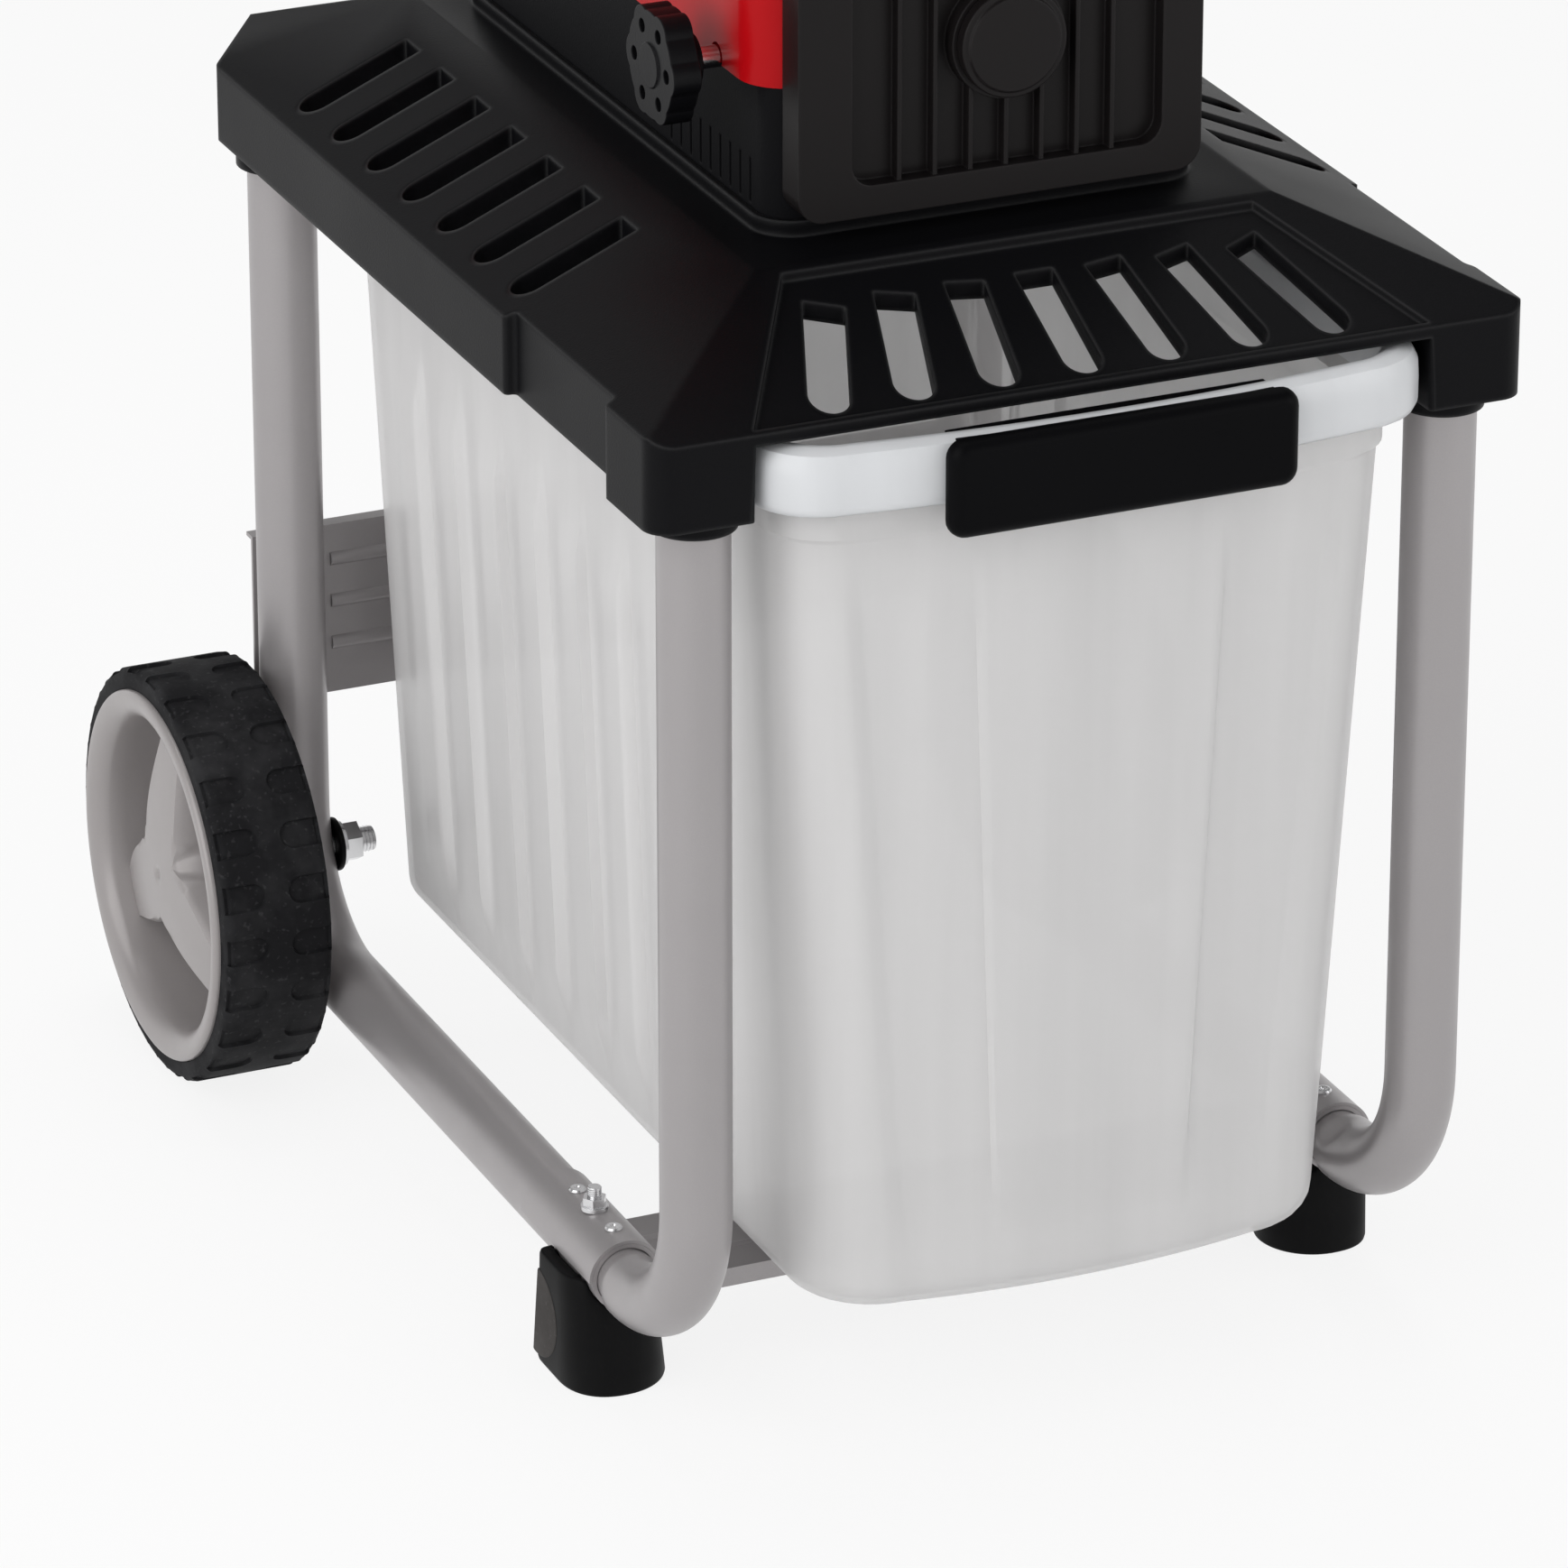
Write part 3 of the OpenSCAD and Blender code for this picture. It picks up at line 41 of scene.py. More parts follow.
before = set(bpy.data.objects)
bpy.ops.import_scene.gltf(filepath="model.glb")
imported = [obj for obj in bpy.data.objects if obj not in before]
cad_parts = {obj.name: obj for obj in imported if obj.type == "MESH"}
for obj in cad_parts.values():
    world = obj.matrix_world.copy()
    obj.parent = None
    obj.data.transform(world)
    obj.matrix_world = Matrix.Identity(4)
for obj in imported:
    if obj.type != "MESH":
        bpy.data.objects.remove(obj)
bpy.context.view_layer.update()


def low(node):
    """Lowest corner of a node of the frame."""
    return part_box(node)[0]


def high(node):
    """Highest corner of a node of the frame."""
    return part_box(node)[1]


def middle(node):
    """Middle of a node of the frame."""
    return (low(node) + high(node)) / 2


# Places taken from the frame
TUBE_R = (high("rear_leg_right").x - low("rear_leg_right").x) / 2
LEG_X = middle("rear_leg_right").x
FRONT_Y = low("front_leg_right").y + TUBE_R
REAR_Y = high("rear_leg_right").y - TUBE_R
SIDE_Z = low("rear_leg_right").z + TUBE_R
LEG_TOP = high("rear_leg_right").z
JOINT_Y = low("rear_leg_right").y
SLEEVE_TOP = high("joint_sleeves").z
BOLT = middle("foot_bolts")
AXLE = middle("tyre_right")
TYRE_R = (high("tyre_right").z - low("tyre_right").z) / 2
TYRE_W = high("tyre_right").x - low("tyre_right").x
DECK_LOW, DECK_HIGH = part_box("base_plate")

# Distances within which points are one, and within which a point lies on a line or a face
MERGE, TOUCH = 1e-6, 1e-5


class ShredderSizes(bpy.types.PropertyGroup):
    """Sizes of the visible details"""

    edge_round: FloatProperty(
        name="Edge rounding", description="Radius of small moulded edges", default=0.0012, unit="LENGTH")
    deck_round: FloatProperty(
        name="Deck rounding", description="Radius of the long edges of the base plate", default=0.0045,
        unit="LENGTH")
    front_bend: FloatProperty(
        name="Front bend", description="Bend radius of the front legs", default=0.070, unit="LENGTH")
    rear_bend: FloatProperty(
        name="Rear bend", description="Bend radius of the rear legs", default=0.065, unit="LENGTH")
    bar_bend: FloatProperty(
        name="Bar bend", description="Bend radius of the tow bar", default=0.034, unit="LENGTH")
    neck: FloatProperty(
        name="Neck length", description="Tapered neck of the front legs", default=0.008, unit="LENGTH")
    tube_wall: FloatProperty(
        name="Tube wall", description="Wall of the leg tubes", default=0.002, unit="LENGTH")
    tread_count: IntProperty(
        name="Tread pockets", description="Pockets in each row of the tyre tread", default=24)
    tread_depth: FloatProperty(
        name="Tread depth", description="Depth of the tread pockets", default=0.0017, unit="LENGTH")
    pocket_length: FloatProperty(
        name="Pocket length", description="Length of a tread pocket from the tyre's edge", default=0.021,
        unit="LENGTH")
    pocket_width: FloatProperty(
        name="Pocket width", description="Width of a tread pocket", default=0.013, unit="LENGTH")
    box_wall: FloatProperty(
        name="Box wall", description="Wall of the collection box", default=0.0025, unit="LENGTH")
    box_rim: FloatProperty(
        name="Box rim", description="Overhang of the box rim", default=0.011, unit="LENGTH")
    box_bulge: FloatProperty(
        name="Box bulge", description="Bulge of the box front", default=0.008, unit="LENGTH")
    box_taper: FloatProperty(
        name="Box taper", description="Inward lean of the box sides", default=0.016, unit="LENGTH")
    front_taper: FloatProperty(
        name="Front taper", description="Inward lean of the box front", default=0.004, unit="LENGTH")
    box_corner: FloatProperty(
        name="Box corner", description="Radius of the front corners at the rim", default=0.030, unit="LENGTH")
    floor_corner: FloatProperty(
        name="Floor corner", description="Radius of the front corners at the floor", default=0.042,
        unit="LENGTH")
    floor_round: FloatProperty(
        name="Floor rounding", description="Rounding between the box walls and the floor", default=0.014,
        unit="LENGTH")
    flute_count: IntProperty(
        name="Flutes", description="Upright flutes in each side of the box", default=8)
    flute_depth: FloatProperty(
        name="Flute depth", description="Depth of those flutes", default=0.0048, unit="LENGTH")
    thread_pitch: FloatProperty(
        name="Thread pitch", description="Pitch of the axle bolts' visible threads", default=0.00175,
        unit="LENGTH")


class ShredderColours(bpy.types.PropertyGroup):
    """Colours of the finishes"""

    black: FloatVectorProperty(
        name="Black plastic", description="Base plate and casing", default=(0.0042, 0.0042, 0.0050),
        subtype="COLOR")
    cover: FloatVectorProperty(
        name="Cover plastic", description="Ribbed front cover", default=(0.0095, 0.0080, 0.0082),
        subtype="COLOR")
    red: FloatVectorProperty(
        name="Red plastic", description="Upper housing", default=(0.46, 0.003, 0.006), subtype="COLOR")
    silver: FloatVectorProperty(
        name="Silver paint", description="Tube frame", default=(0.385, 0.366, 0.37), subtype="COLOR")
    wheel: FloatVectorProperty(
        name="Wheel plastic", description="Wheel rims", default=(0.355, 0.332, 0.33), subtype="COLOR")
    rubber: FloatVectorProperty(
        name="Rubber", description="Tyres and feet", default=(0.0065, 0.0065, 0.0072), subtype="COLOR")
    milky: FloatVectorProperty(
        name="Box plastic", description="See-through box", default=(0.85, 0.842, 0.842), subtype="COLOR")


class ShredderStage(bpy.types.PropertyGroup):
    """Camera and light"""

    azimuth: FloatProperty(
        name="Azimuth", description="Camera's turn round the machine", default=radians(-23.6),
        subtype="ANGLE")
    elevation: FloatProperty(
        name="Elevation", description="Camera's height angle", default=radians(23.75), subtype="ANGLE")
    distance: FloatProperty(
        name="Distance", description="Camera's distance", default=4.33, unit="LENGTH")
    lens: FloatProperty(
        name="Lens", description="Focal length in millimetres", default=213.1)
    target: FloatVectorProperty(
        name="Target", description="Point in the middle of the picture",
        default=(0.0014, FRONT_Y + 0.311, 0.1724), subtype="XYZ", unit="LENGTH")
    floor: FloatVectorProperty(
        name="Floor", description="Colour of the floor", default=(0.86, 0.86, 0.86), subtype="COLOR")


# Mesh steps that several pieces share


def verts_in(geometry):
    """The vertices among a step's results."""
    return [g for g in geometry if isinstance(g, bmesh.types.BMVert)]


def unique(things):
    """Each of these things once, in their order, so that every run gives the same mesh."""
    return list(dict.fromkeys(things))


def verts_of(edges):
    """The vertices at the ends of these edges."""
    return unique(v for e in edges for v in e.verts)


def edges_of(verts):
    """The edges that join these vertices to each other."""
    chosen = set(verts)
    return unique(e for v in verts for e in v.link_edges if chosen.issuperset(e.verts))


def ring_at(bm, centre, direction, radius, segments=44):
    """A capped circle that faces a direction; its rim is carried on by the next steps."""
    turn = Vector((0, 0, 1)).rotation_difference(Vector(direction)).to_matrix().to_4x4()
    place = Matrix.Translation(Vector(centre)) @ turn
    made = bmesh.ops.create_circle(bm, cap_ends=True, radius=radius, segments=segments, matrix=place)
    return edges_of(made["verts"])


def run(bm, ring, step, width=1.0, cuts=1):
    """Carries a ring on along a straight step in equal cuts, changing its width on the way."""
    factor = width ** (1 / cuts)
    for _ in range(cuts):
        verts = verts_in(bmesh.ops.extrude_edge_only(bm, edges=ring)["geom"])
        bmesh.ops.translate(bm, verts=verts, vec=Vector(step) / cuts)
        centre = sum((v.co for v in verts), Vector()) / len(verts)
        bmesh.ops.scale(bm, verts=verts, vec=(factor,) * 3, space=Matrix.Translation(-centre))
        ring = edges_of(verts)
    return ring


def bend(bm, ring, centre, axis, angle, steps):
    """Carries a ring on round a bend."""
    made = bmesh.ops.spin(bm, geom=verts_of(ring) + ring, cent=centre, axis=axis, angle=angle, steps=steps)
    return edges_of(verts_in(made["geom_last"]))


def close(bm, ring):
    """Fills the last ring."""
    bmesh.ops.contextual_create(bm, geom=ring)


def section(bm, centre, axis, side, outline):
    """A closed loop of (radius, distance along the axis) points, ready to be turned round the axis."""
    verts = [bm.verts.new(centre + side * r + axis * a) for r, a in outline]
    return verts, [bm.edges.new(pair) for pair in zip(verts, verts[1:] + verts[:1])]


def lathe(bm, centre, axis, side, outline, steps):
    """Turns a closed outline once round the axis."""
    centre, axis = Vector(centre), Vector(axis)
    verts, edges = section(bm, centre, axis, Vector(side), outline)
    bmesh.ops.spin(bm, geom=verts + edges, cent=centre, axis=axis, angle=tau, steps=steps, use_merge=True)
    bmesh.ops.remove_doubles(bm, verts=bm.verts, dist=MERGE)


def arc(centre, radius, start, end, count):
    """Points of an arc in an outline, angles in degrees."""
    angles = [radians(start + (end - start) * i / (count - 1)) for i in range(count)]
    return [(centre[0] + radius * cos(a), centre[1] + radius * sin(a)) for a in angles]


def block(bm, lowest, size):
    """A box from its lowest corner; returns its edges."""
    size = Vector(size)
    place = Matrix.Translation(Vector(lowest) + size / 2) @ Matrix.Diagonal((*size, 1))
    return edges_of(bmesh.ops.create_cube(bm, size=1, matrix=place)["verts"])


def round_edges(bm, edges, radius, segments):
    """Rounds the given edges."""
    bmesh.ops.bevel(bm, geom=edges, offset=radius, offset_type="OFFSET", segments=segments, profile=0.5,
                    affect="EDGES", clamp_overlap=True, material=-1)


def sharp_edges(bm, angle=25):
    """Edges where two faces meet at more than an angle in degrees."""
    return [e for e in bm.edges if len(e.link_faces) == 2 and e.calc_face_angle(0) > radians(angle)]


def copy_of(node):
    """A merged copy of a node of the frame, with its flat faces whole."""
    bm = bmesh.new()
    bm.from_mesh(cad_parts[node].data)
    bmesh.ops.remove_doubles(bm, verts=bm.verts, dist=2e-6)
    bmesh.ops.dissolve_limit(bm, angle_limit=radians(0.4), verts=bm.verts, edges=bm.edges)
    return bm


def face_out(bm, faces):
    """Turns the faces of closed shells outwards."""
    bm.normal_update()
    bmesh.ops.recalc_face_normals(bm, faces=faces)
    bm.normal_update()


def mirror_over(bm):
    """Turns a right-hand piece into the left-hand one."""
    bmesh.ops.scale(bm, verts=bm.verts, vec=(-1, 1, 1))
    bmesh.ops.reverse_faces(bm, faces=bm.faces)


def piece(bm, name, material, body, nodes, crease=32, outward=True):
    """Makes a finished piece of a mesh: it rides on a body and stands for nodes of the frame."""
    if outward:
        face_out(bm, bm.faces)
    mesh = bpy.data.meshes.new(name)
    bm.to_mesh(mesh)
    bm.free()
    mesh.shade_smooth()
    mesh.set_sharp_from_angle(angle=radians(crease))
    mesh.materials.append(material)
    made = bpy.data.objects.new(name, mesh)
    bpy.context.scene.collection.objects.link(made)
    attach(made, body)
    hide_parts(*nodes)
    return made


def even_normals(made):
    """Keeps flat faces flat beside their rounded edges."""
    even = made.modifiers.new("Even normals", "WEIGHTED_NORMAL")
    even.keep_sharp = True


def dressed(bm, node, name, material, body):
    """A piece made of a node's changed copy, whose faces point outwards already."""
    even_normals(piece(bm, name, material, body, [node], crease=40, outward=False))


def softened(node, name, material, body, radius, segments=3):
    """A piece that is the node's own shape with rounded edges."""
    bm = copy_of(node)
    round_edges(bm, sharp_edges(bm), radius, segments)
    dressed(bm, node, name, material, body)


# Materials


def add_node(tree, kind, settings=None, values=None, links=None):
    """Adds a node, with its settings, socket values and links."""
    made = tree.nodes.new(kind)
    for key, value in (settings or {}).items():
        setattr(made, key, value)
    for key, value in (values or {}).items():
        made.inputs[key].default_value = value
    for key, socket in (links or {}).items():
        tree.links.new(socket, made.inputs[key])
    return made


def new_group(name, inputs, outputs):
    """An empty shader group with float inputs and outputs."""
    tree = bpy.data.node_groups.new(name, "ShaderNodeTree")
    for label, value in inputs.items():
        tree.interface.new_socket(label, in_out="INPUT", socket_type="NodeSocketFloat").default_value = value
    for label in outputs:
        tree.interface.new_socket(label, in_out="OUTPUT", socket_type="NodeSocketFloat")
    return tree, tree.nodes.new("NodeGroupInput"), tree.nodes.new("NodeGroupOutput")


def grain_group(name):
    """Fine moulded grain as a height, and a slow change of tone."""
    tree, given, out = new_group(name, {"Scale": 900.0, "Tone scale": 9.0}, ["Height", "Tone"])
    place = add_node(tree, "ShaderNodeTexCoord").outputs["Object"]
    fine = add_node(tree, "ShaderNodeTexNoise", values={"Detail": 2.0, "Roughness": 0.6},
                    links={"Vector": place, "Scale": given.outputs["Scale"]})
    slow = add_node(tree, "ShaderNodeTexNoise", values={"Detail": 3.0},
                    links={"Vector": place, "Scale": given.outputs["Tone scale"]})
    tree.links.new(fine.outputs["Fac"], out.inputs["Height"])
    tree.links.new(slow.outputs["Fac"], out.inputs["Tone"])
    return tree


def edge_wear_and_highlight_group(name):
    """A mask of the edges: where hands and tools have rubbed them, and where a painted highlight lies along
    them.
    """
    tree, given, out = new_group(name, {"Radius": 0.002, "Gain": 3.0}, ["Mask"])
    soft = add_node(tree, "ShaderNodeBevel", settings={"samples": 4},
                    links={"Radius": given.outputs["Radius"]})
    true = add_node(tree, "ShaderNodeNewGeometry").outputs["Normal"]
    same = add_node(tree, "ShaderNodeVectorMath", settings={"operation": "DOT_PRODUCT"},
                    links={0: soft.outputs["Normal"], 1: true})
    off = add_node(tree, "ShaderNodeMath", settings={"operation": "SUBTRACT"}, values={0: 1.0},
                   links={1: same.outputs["Value"]})
    strong = add_node(tree, "ShaderNodeMath", settings={"operation": "MULTIPLY", "use_clamp": True},
                      links={0: off.outputs["Value"], 1: given.outputs["Gain"]})
    tree.links.new(strong.outputs["Value"], out.inputs["Mask"])
    return tree


def dust_group(name):
    """Pale dust in patches and specks."""
    tree, given, out = new_group(name, {"Patch scale": 30.0, "Speck scale": 420.0, "Cover": 0.5}, ["Mask"])
    place = add_node(tree, "ShaderNodeTexCoord").outputs["Object"]
    patch = add_node(tree, "ShaderNodeTexNoise", values={"Detail": 4.0, "Roughness": 0.65},
                     links={"Vector": place, "Scale": given.outputs["Patch scale"]})
    speck = add_node(tree, "ShaderNodeTexNoise", values={"Detail": 1.0},
                     links={"Vector": place, "Scale": given.outputs["Speck scale"]})
    broad = add_node(tree, "ShaderNodeMapRange", values={"From Min": 0.42, "From Max": 0.75},
                     links={"Value": patch.outputs["Fac"]})
    fine = add_node(tree, "ShaderNodeMapRange", values={"From Min": 0.62, "From Max": 0.8},
                    links={"Value": speck.outputs["Fac"]})
    both = add_node(tree, "ShaderNodeMath", settings={"operation": "ADD", "use_clamp": True},
                    links={0: broad.outputs["Result"], 1: fine.outputs["Result"]})
    part = add_node(tree, "ShaderNodeMath", settings={"operation": "MULTIPLY"},
                    links={0: both.outputs["Value"], 1: given.outputs["Cover"]})
    tree.links.new(part.outputs["Value"], out.inputs["Mask"])
    return tree


# Effects that several finishes share
GROUPS = {"Mould grain": grain_group, "Edge wear and painted highlight": edge_wear_and_highlight_group, "Dust": dust_group}


def use_group(tree, name, values):
    """Places a group, made at its first use, in a material with its own values."""
    group = bpy.data.node_groups.get(name)
    if group is None:
        group = GROUPS[name](name)
    return add_node(tree, "ShaderNodeGroup", settings={"node_tree": group}, values=values).outputs


def start_material(name):
    """A new material and its surface shader."""
    made = bpy.data.materials.new(name)
    made.use_nodes = True
    return made, made.node_tree, made.node_tree.nodes["Principled BSDF"]


def tint(colour, factor, lift=0.0):
    """A colour made darker or lighter."""
    return tuple(min(1.0, c * factor + lift) for c in colour) + (1.0,)


def mix_colours(tree, mask, first, second):
    """A colour that goes from the first to the second by a mask; either may be a socket."""
    mix = add_node(tree, "ShaderNodeMix", settings={"data_type": "RGBA"}, links={"Factor": mask})
    for key, value in ((6, first), (7, second)):
        if isinstance(value, bpy.types.NodeSocket):
            tree.links.new(value, mix.inputs[key])
        else:
            mix.inputs[key].default_value = value
    return mix.outputs[2]


def set_range(tree, shader, socket, mask, least, most):
    """Lets a shader's value change over the surface between two limits."""
    span = add_node(tree, "ShaderNodeMapRange", values={"To Min": least, "To Max": most},
                    links={"Value": mask})
    tree.links.new(span.outputs["Result"], shader.inputs[socket])


def set_bump(tree, shader, height, strength, distance, soft=0.0):
    """Raises the surface by a height map, over edges that look rounded by a soft radius."""
    bump = add_node(tree, "ShaderNodeBump", values={"Strength": strength, "Distance": distance},
                    links={"Height": height})
    if soft:
        edge = add_node(tree, "ShaderNodeBevel", settings={"samples": 6}, values={"Radius": soft})
        tree.links.new(edge.outputs["Normal"], bump.inputs["Normal"])
    tree.links.new(bump.outputs["Normal"], shader.inputs["Normal"])


def plastic(colour, roughness, grain=900.0, depth=0.00012, specular=0.3, rub_and_highlight=0.5, soft=0.0, lift=0.012):
    """Moulded plastic with a fine grain and edges made paler by a lift: rubbed wear, which becomes a painted
    highlight where the lift is large.
    """
    made, tree, shader = start_material("Plastic")
    skin = use_group(tree, "Mould grain", {"Scale": grain, "Tone scale": 8.0})
    edge = use_group(tree, "Edge wear and painted highlight", {"Radius": 0.0025, "Gain": 2.0 * rub_and_highlight})
    body = mix_colours(tree, skin["Tone"], tint(colour, 0.8), tint(colour, 1.25))
    # Paler edges: rubbed wear where the lift is small, a painted highlight along the edges where it is large
    worn_and_highlighted = mix_colours(tree, edge["Mask"], body, tint(colour, 1.5, lift))
    tree.links.new(worn_and_highlighted, shader.inputs["Base Color"])
    set_range(tree, shader, "Roughness", skin["Tone"], roughness - 0.07, roughness + 0.07)
    set_bump(tree, shader, skin["Height"], strength=0.5, distance=depth, soft=soft)
    shader.inputs["Specular IOR Level"].default_value = specular
    return made


def gloss(colour, roughness=0.22):
    """Glossy plastic with a faint ripple."""
    made, tree, shader = start_material("Gloss")
    skin = use_group(tree, "Mould grain", {"Scale": 160.0, "Tone scale": 5.0})
    body = mix_colours(tree, skin["Tone"], tint(colour, 0.86), tint(colour, 1.12))
    tree.links.new(body, shader.inputs["Base Color"])
    set_range(tree, shader, "Roughness", skin["Tone"], roughness - 0.05, roughness + 0.06)
    set_bump(tree, shader, skin["Height"], strength=0.15, distance=0.00005)
    shader.inputs["Specular IOR Level"].default_value = 0.12
    return made


def paint(colour, metallic=0.45, roughness=0.36):
    """Silver paint: fine flakes, a little orange peel and dust."""
    made, tree, shader = start_material("Paint")
    flake = use_group(tree, "Mould grain", {"Scale": 2600.0, "Tone scale": 12.0})
    peel = use_group(tree, "Mould grain", {"Scale": 330.0, "Tone scale": 60.0})
    dust = use_group(tree, "Dust", {"Patch scale": 14.0, "Cover": 0.16})
    body = mix_colours(tree, flake["Height"], tint(colour, 0.86), tint(colour, 1.14))
    cloudy = mix_colours(tree, flake["Tone"], body, tint(colour, 0.92))
    dusty = mix_colours(tree, dust["Mask"], cloudy, tint(colour, 0.7, 0.12))
    tree.links.new(dusty, shader.inputs["Base Color"])
    set_range(tree, shader, "Roughness", peel["Tone"], roughness - 0.08, roughness + 0.08)
    set_bump(tree, shader, peel["Height"], strength=0.12, distance=0.00006)
    shader.inputs["Metallic"].default_value = metallic
    return made


def rubber(colour, cover, roughness=0.7, soft=0.0):
    """Dark rubber with dust."""
    made, tree, shader = start_material("Rubber")
    skin = use_group(tree, "Mould grain", {"Scale": 1100.0, "Tone scale": 20.0})
    dust = use_group(tree, "Dust", {"Patch scale": 26.0, "Cover": cover})
    body = mix_colours(tree, skin["Tone"], tint(colour, 0.75), tint(colour, 1.3))
    dusty = mix_colours(tree, dust["Mask"], body, tint(colour, 2.2, 0.035))
    tree.links.new(dusty, shader.inputs["Base Color"])
    set_range(tree, shader, "Roughness", skin["Tone"], roughness - 0.1, roughness + 0.12)
    set_bump(tree, shader, skin["Height"], strength=0.4, distance=0.0001, soft=soft)
    shader.inputs["Specular IOR Level"].default_value = 0.09
    return made


def metal(colour, roughness, marks=700.0):
    """Bare metal with fine marks."""
    made, tree, shader = start_material("Metal")
    skin = use_group(tree, "Mould grain", {"Scale": marks, "Tone scale": 25.0})
    body = mix_colours(tree, skin["Tone"], tint(colour, 0.8), tint(colour, 1.15))
    tree.links.new(body, shader.inputs["Base Color"])
    set_range(tree, shader, "Roughness", skin["Tone"], roughness - 0.08, roughness + 0.1)
    set_bump(tree, shader, skin["Height"], strength=0.15, distance=0.00008)
    shader.inputs["Metallic"].default_value = 1.0
    return made


def milky(colour, least, most, roughness=0.34):
    """Cloudy plastic that lets part of the light through."""
    made, tree, shader = start_material("Milky")
    skin = use_group(tree, "Mould grain", {"Scale": 500.0, "Tone scale": 5.0})
    place = add_node(tree, "ShaderNodeTexCoord").outputs["Object"]
    drawn = add_node(tree, "ShaderNodeMapping", values={"Scale": (1.0, 1.0, 0.05)}, links={"Vector": place})
    streak = add_node(tree, "ShaderNodeTexNoise", values={"Scale": 42.0, "Detail": 3.0},
                      links={"Vector": drawn.outputs["Vector"]})
    body = mix_colours(tree, streak.outputs["Fac"], tint(colour, 0.91), tint(colour, 1.07))
    tree.links.new(body, shader.inputs["Base Color"])
    set_range(tree, shader, "Alpha", skin["Tone"], least, most)
    set_range(tree, shader, "Roughness", skin["Tone"], roughness - 0.06, roughness + 0.1)
    set_bump(tree, shader, skin["Height"], strength=0.08, distance=0.0001)
    return made


# Each finish by its name, from the colours that the user may change
FINISHES = {
    # The deck's strong edge mask and large lift paint a highlight along its edges, with a little rubbed wear
    "deck": lambda c: plastic(c.black, 0.42, grain=1150.0, depth=0.00016, specular=0.07, rub_and_highlight=2.0, soft=0.004,
                              lift=0.035),
    "casing": lambda c: plastic(c.black, 0.5, specular=0.05, rub_and_highlight=0.3, soft=0.0015),
    "cover": lambda c: plastic(c.cover, 0.36, grain=700.0, depth=0.00005, specular=0.14, soft=0.001),
    "knob": lambda c: plastic(c.black, 0.4, grain=800.0, specular=0.10),
    "handle": lambda c: plastic(tint(c.black, 0.7)[:3], 0.38, grain=600.0, depth=0.00003, specular=0.04),
    "red": lambda c: gloss(c.red, 0.3),
    "green": lambda c: gloss((0.02, 0.26, 0.06)),
    "silver": lambda c: paint(c.silver),
    "wheel": lambda c: paint(c.wheel, metallic=0.15, roughness=0.34),
    "tyre": lambda c: rubber(tint(c.rubber, 1.7)[:3], 0.5),
    "foot": lambda c: rubber(tint(c.rubber, 0.45)[:3], 0.04, roughness=0.5, soft=0.002),
    "facet": lambda c: rubber((0.052, 0.048, 0.046), 0.3, roughness=0.62),
    "zinc": lambda c: metal((0.74, 0.74, 0.75), 0.24),
    "chrome": lambda c: metal((0.78, 0.77, 0.76), 0.14),
    "steel": lambda c: metal((0.42, 0.43, 0.44), 0.36),
    "alloy": lambda c: metal((0.52, 0.53, 0.54), 0.5, marks=220.0),
    "brass": lambda c: metal((0.68, 0.47, 0.18), 0.3),
    "stack": lambda c: metal((0.24, 0.17, 0.11), 0.45),
    "can": lambda c: plastic((0.62, 0.62, 0.6), 0.4, rub_and_highlight=0.1),
    "box": lambda c: milky(c.milky, 0.60, 0.68),
    "rim": lambda c: milky((0.80, 0.815, 0.835), 0.82, 0.9, roughness=0.28),
}


def finish(key):
    """The finish of that name, made at its first use."""
    kept = bpy.data.materials.get(key)
    if kept is None:
        kept = FINISHES[key](bpy.context.scene.shredder_colours)
        kept.name = key
    return kept


# Tube frame


BEND_STEPS = 26
SHEET_ROUND = {"joint_sleeves": 0.0005, "front_cross_rail": 0.0006, "rear_cross_plate": 0.0006}


def front_leg(sizes):
    """Front leg: an upright, a bend, and a neck that enters the side tube."""
    turn, play, inside = sizes.front_bend, 0.0003, 0.03
    bm = bmesh.new()
    ring = ring_at(bm, (LEG_X, FRONT_Y, LEG_TOP), (0, 0, -1), TUBE_R)
    ring = run(bm, ring, (0, 0, SIDE_Z + turn - LEG_TOP), cuts=6)
    ring = bend(bm, ring, (LEG_X, FRONT_Y + turn, SIDE_Z + turn), (1, 0, 0), pi / 2, BEND_STEPS)
    inner = (TUBE_R - sizes.tube_wall - play) / TUBE_R
    ring = run(bm, ring, (0, sizes.neck, 0), width=inner, cuts=4)
    close(bm, run(bm, ring, (0, inside, 0), cuts=3))
    dent_at_neck(bm, FRONT_Y + turn)
    return bm


def dent_at_neck(bm, neck_y):
    """The mark of the press that drew the neck in, on the inner upper side of the bend's end."""
    width, depth = 0.007, 0.22
    dent = Vector((LEG_X - 0.6 * TUBE_R, neck_y - 0.004, SIDE_Z + 0.8 * TUBE_R))
    for v in bm.verts:
        near = exp(-((v.co - dent).length / width) ** 2)
        v.co += (Vector((LEG_X, v.co.y, SIDE_Z)) - v.co) * depth * near


def rear_leg(sizes):
    """Rear leg: an upright, a bend, and the side tube with an open end."""
    turn, recess = sizes.rear_bend, 0.02
    bm = bmesh.new()
    ring = ring_at(bm, (LEG_X, REAR_Y, LEG_TOP), (0, 0, -1), TUBE_R)
    ring = run(bm, ring, (0, 0, SIDE_Z + turn - LEG_TOP), cuts=6)
    ring = bend(bm, ring, (LEG_X, REAR_Y - turn, SIDE_Z + turn), (1, 0, 0), -pi / 2, BEND_STEPS)
    ring = run(bm, ring, (0, JOINT_Y - (REAR_Y - turn), 0), cuts=6)
    ring = run(bm, ring, (0, 0, 0), width=(TUBE_R - sizes.tube_wall) / TUBE_R)
    close(bm, run(bm, ring, (0, recess, 0)))
    return bm


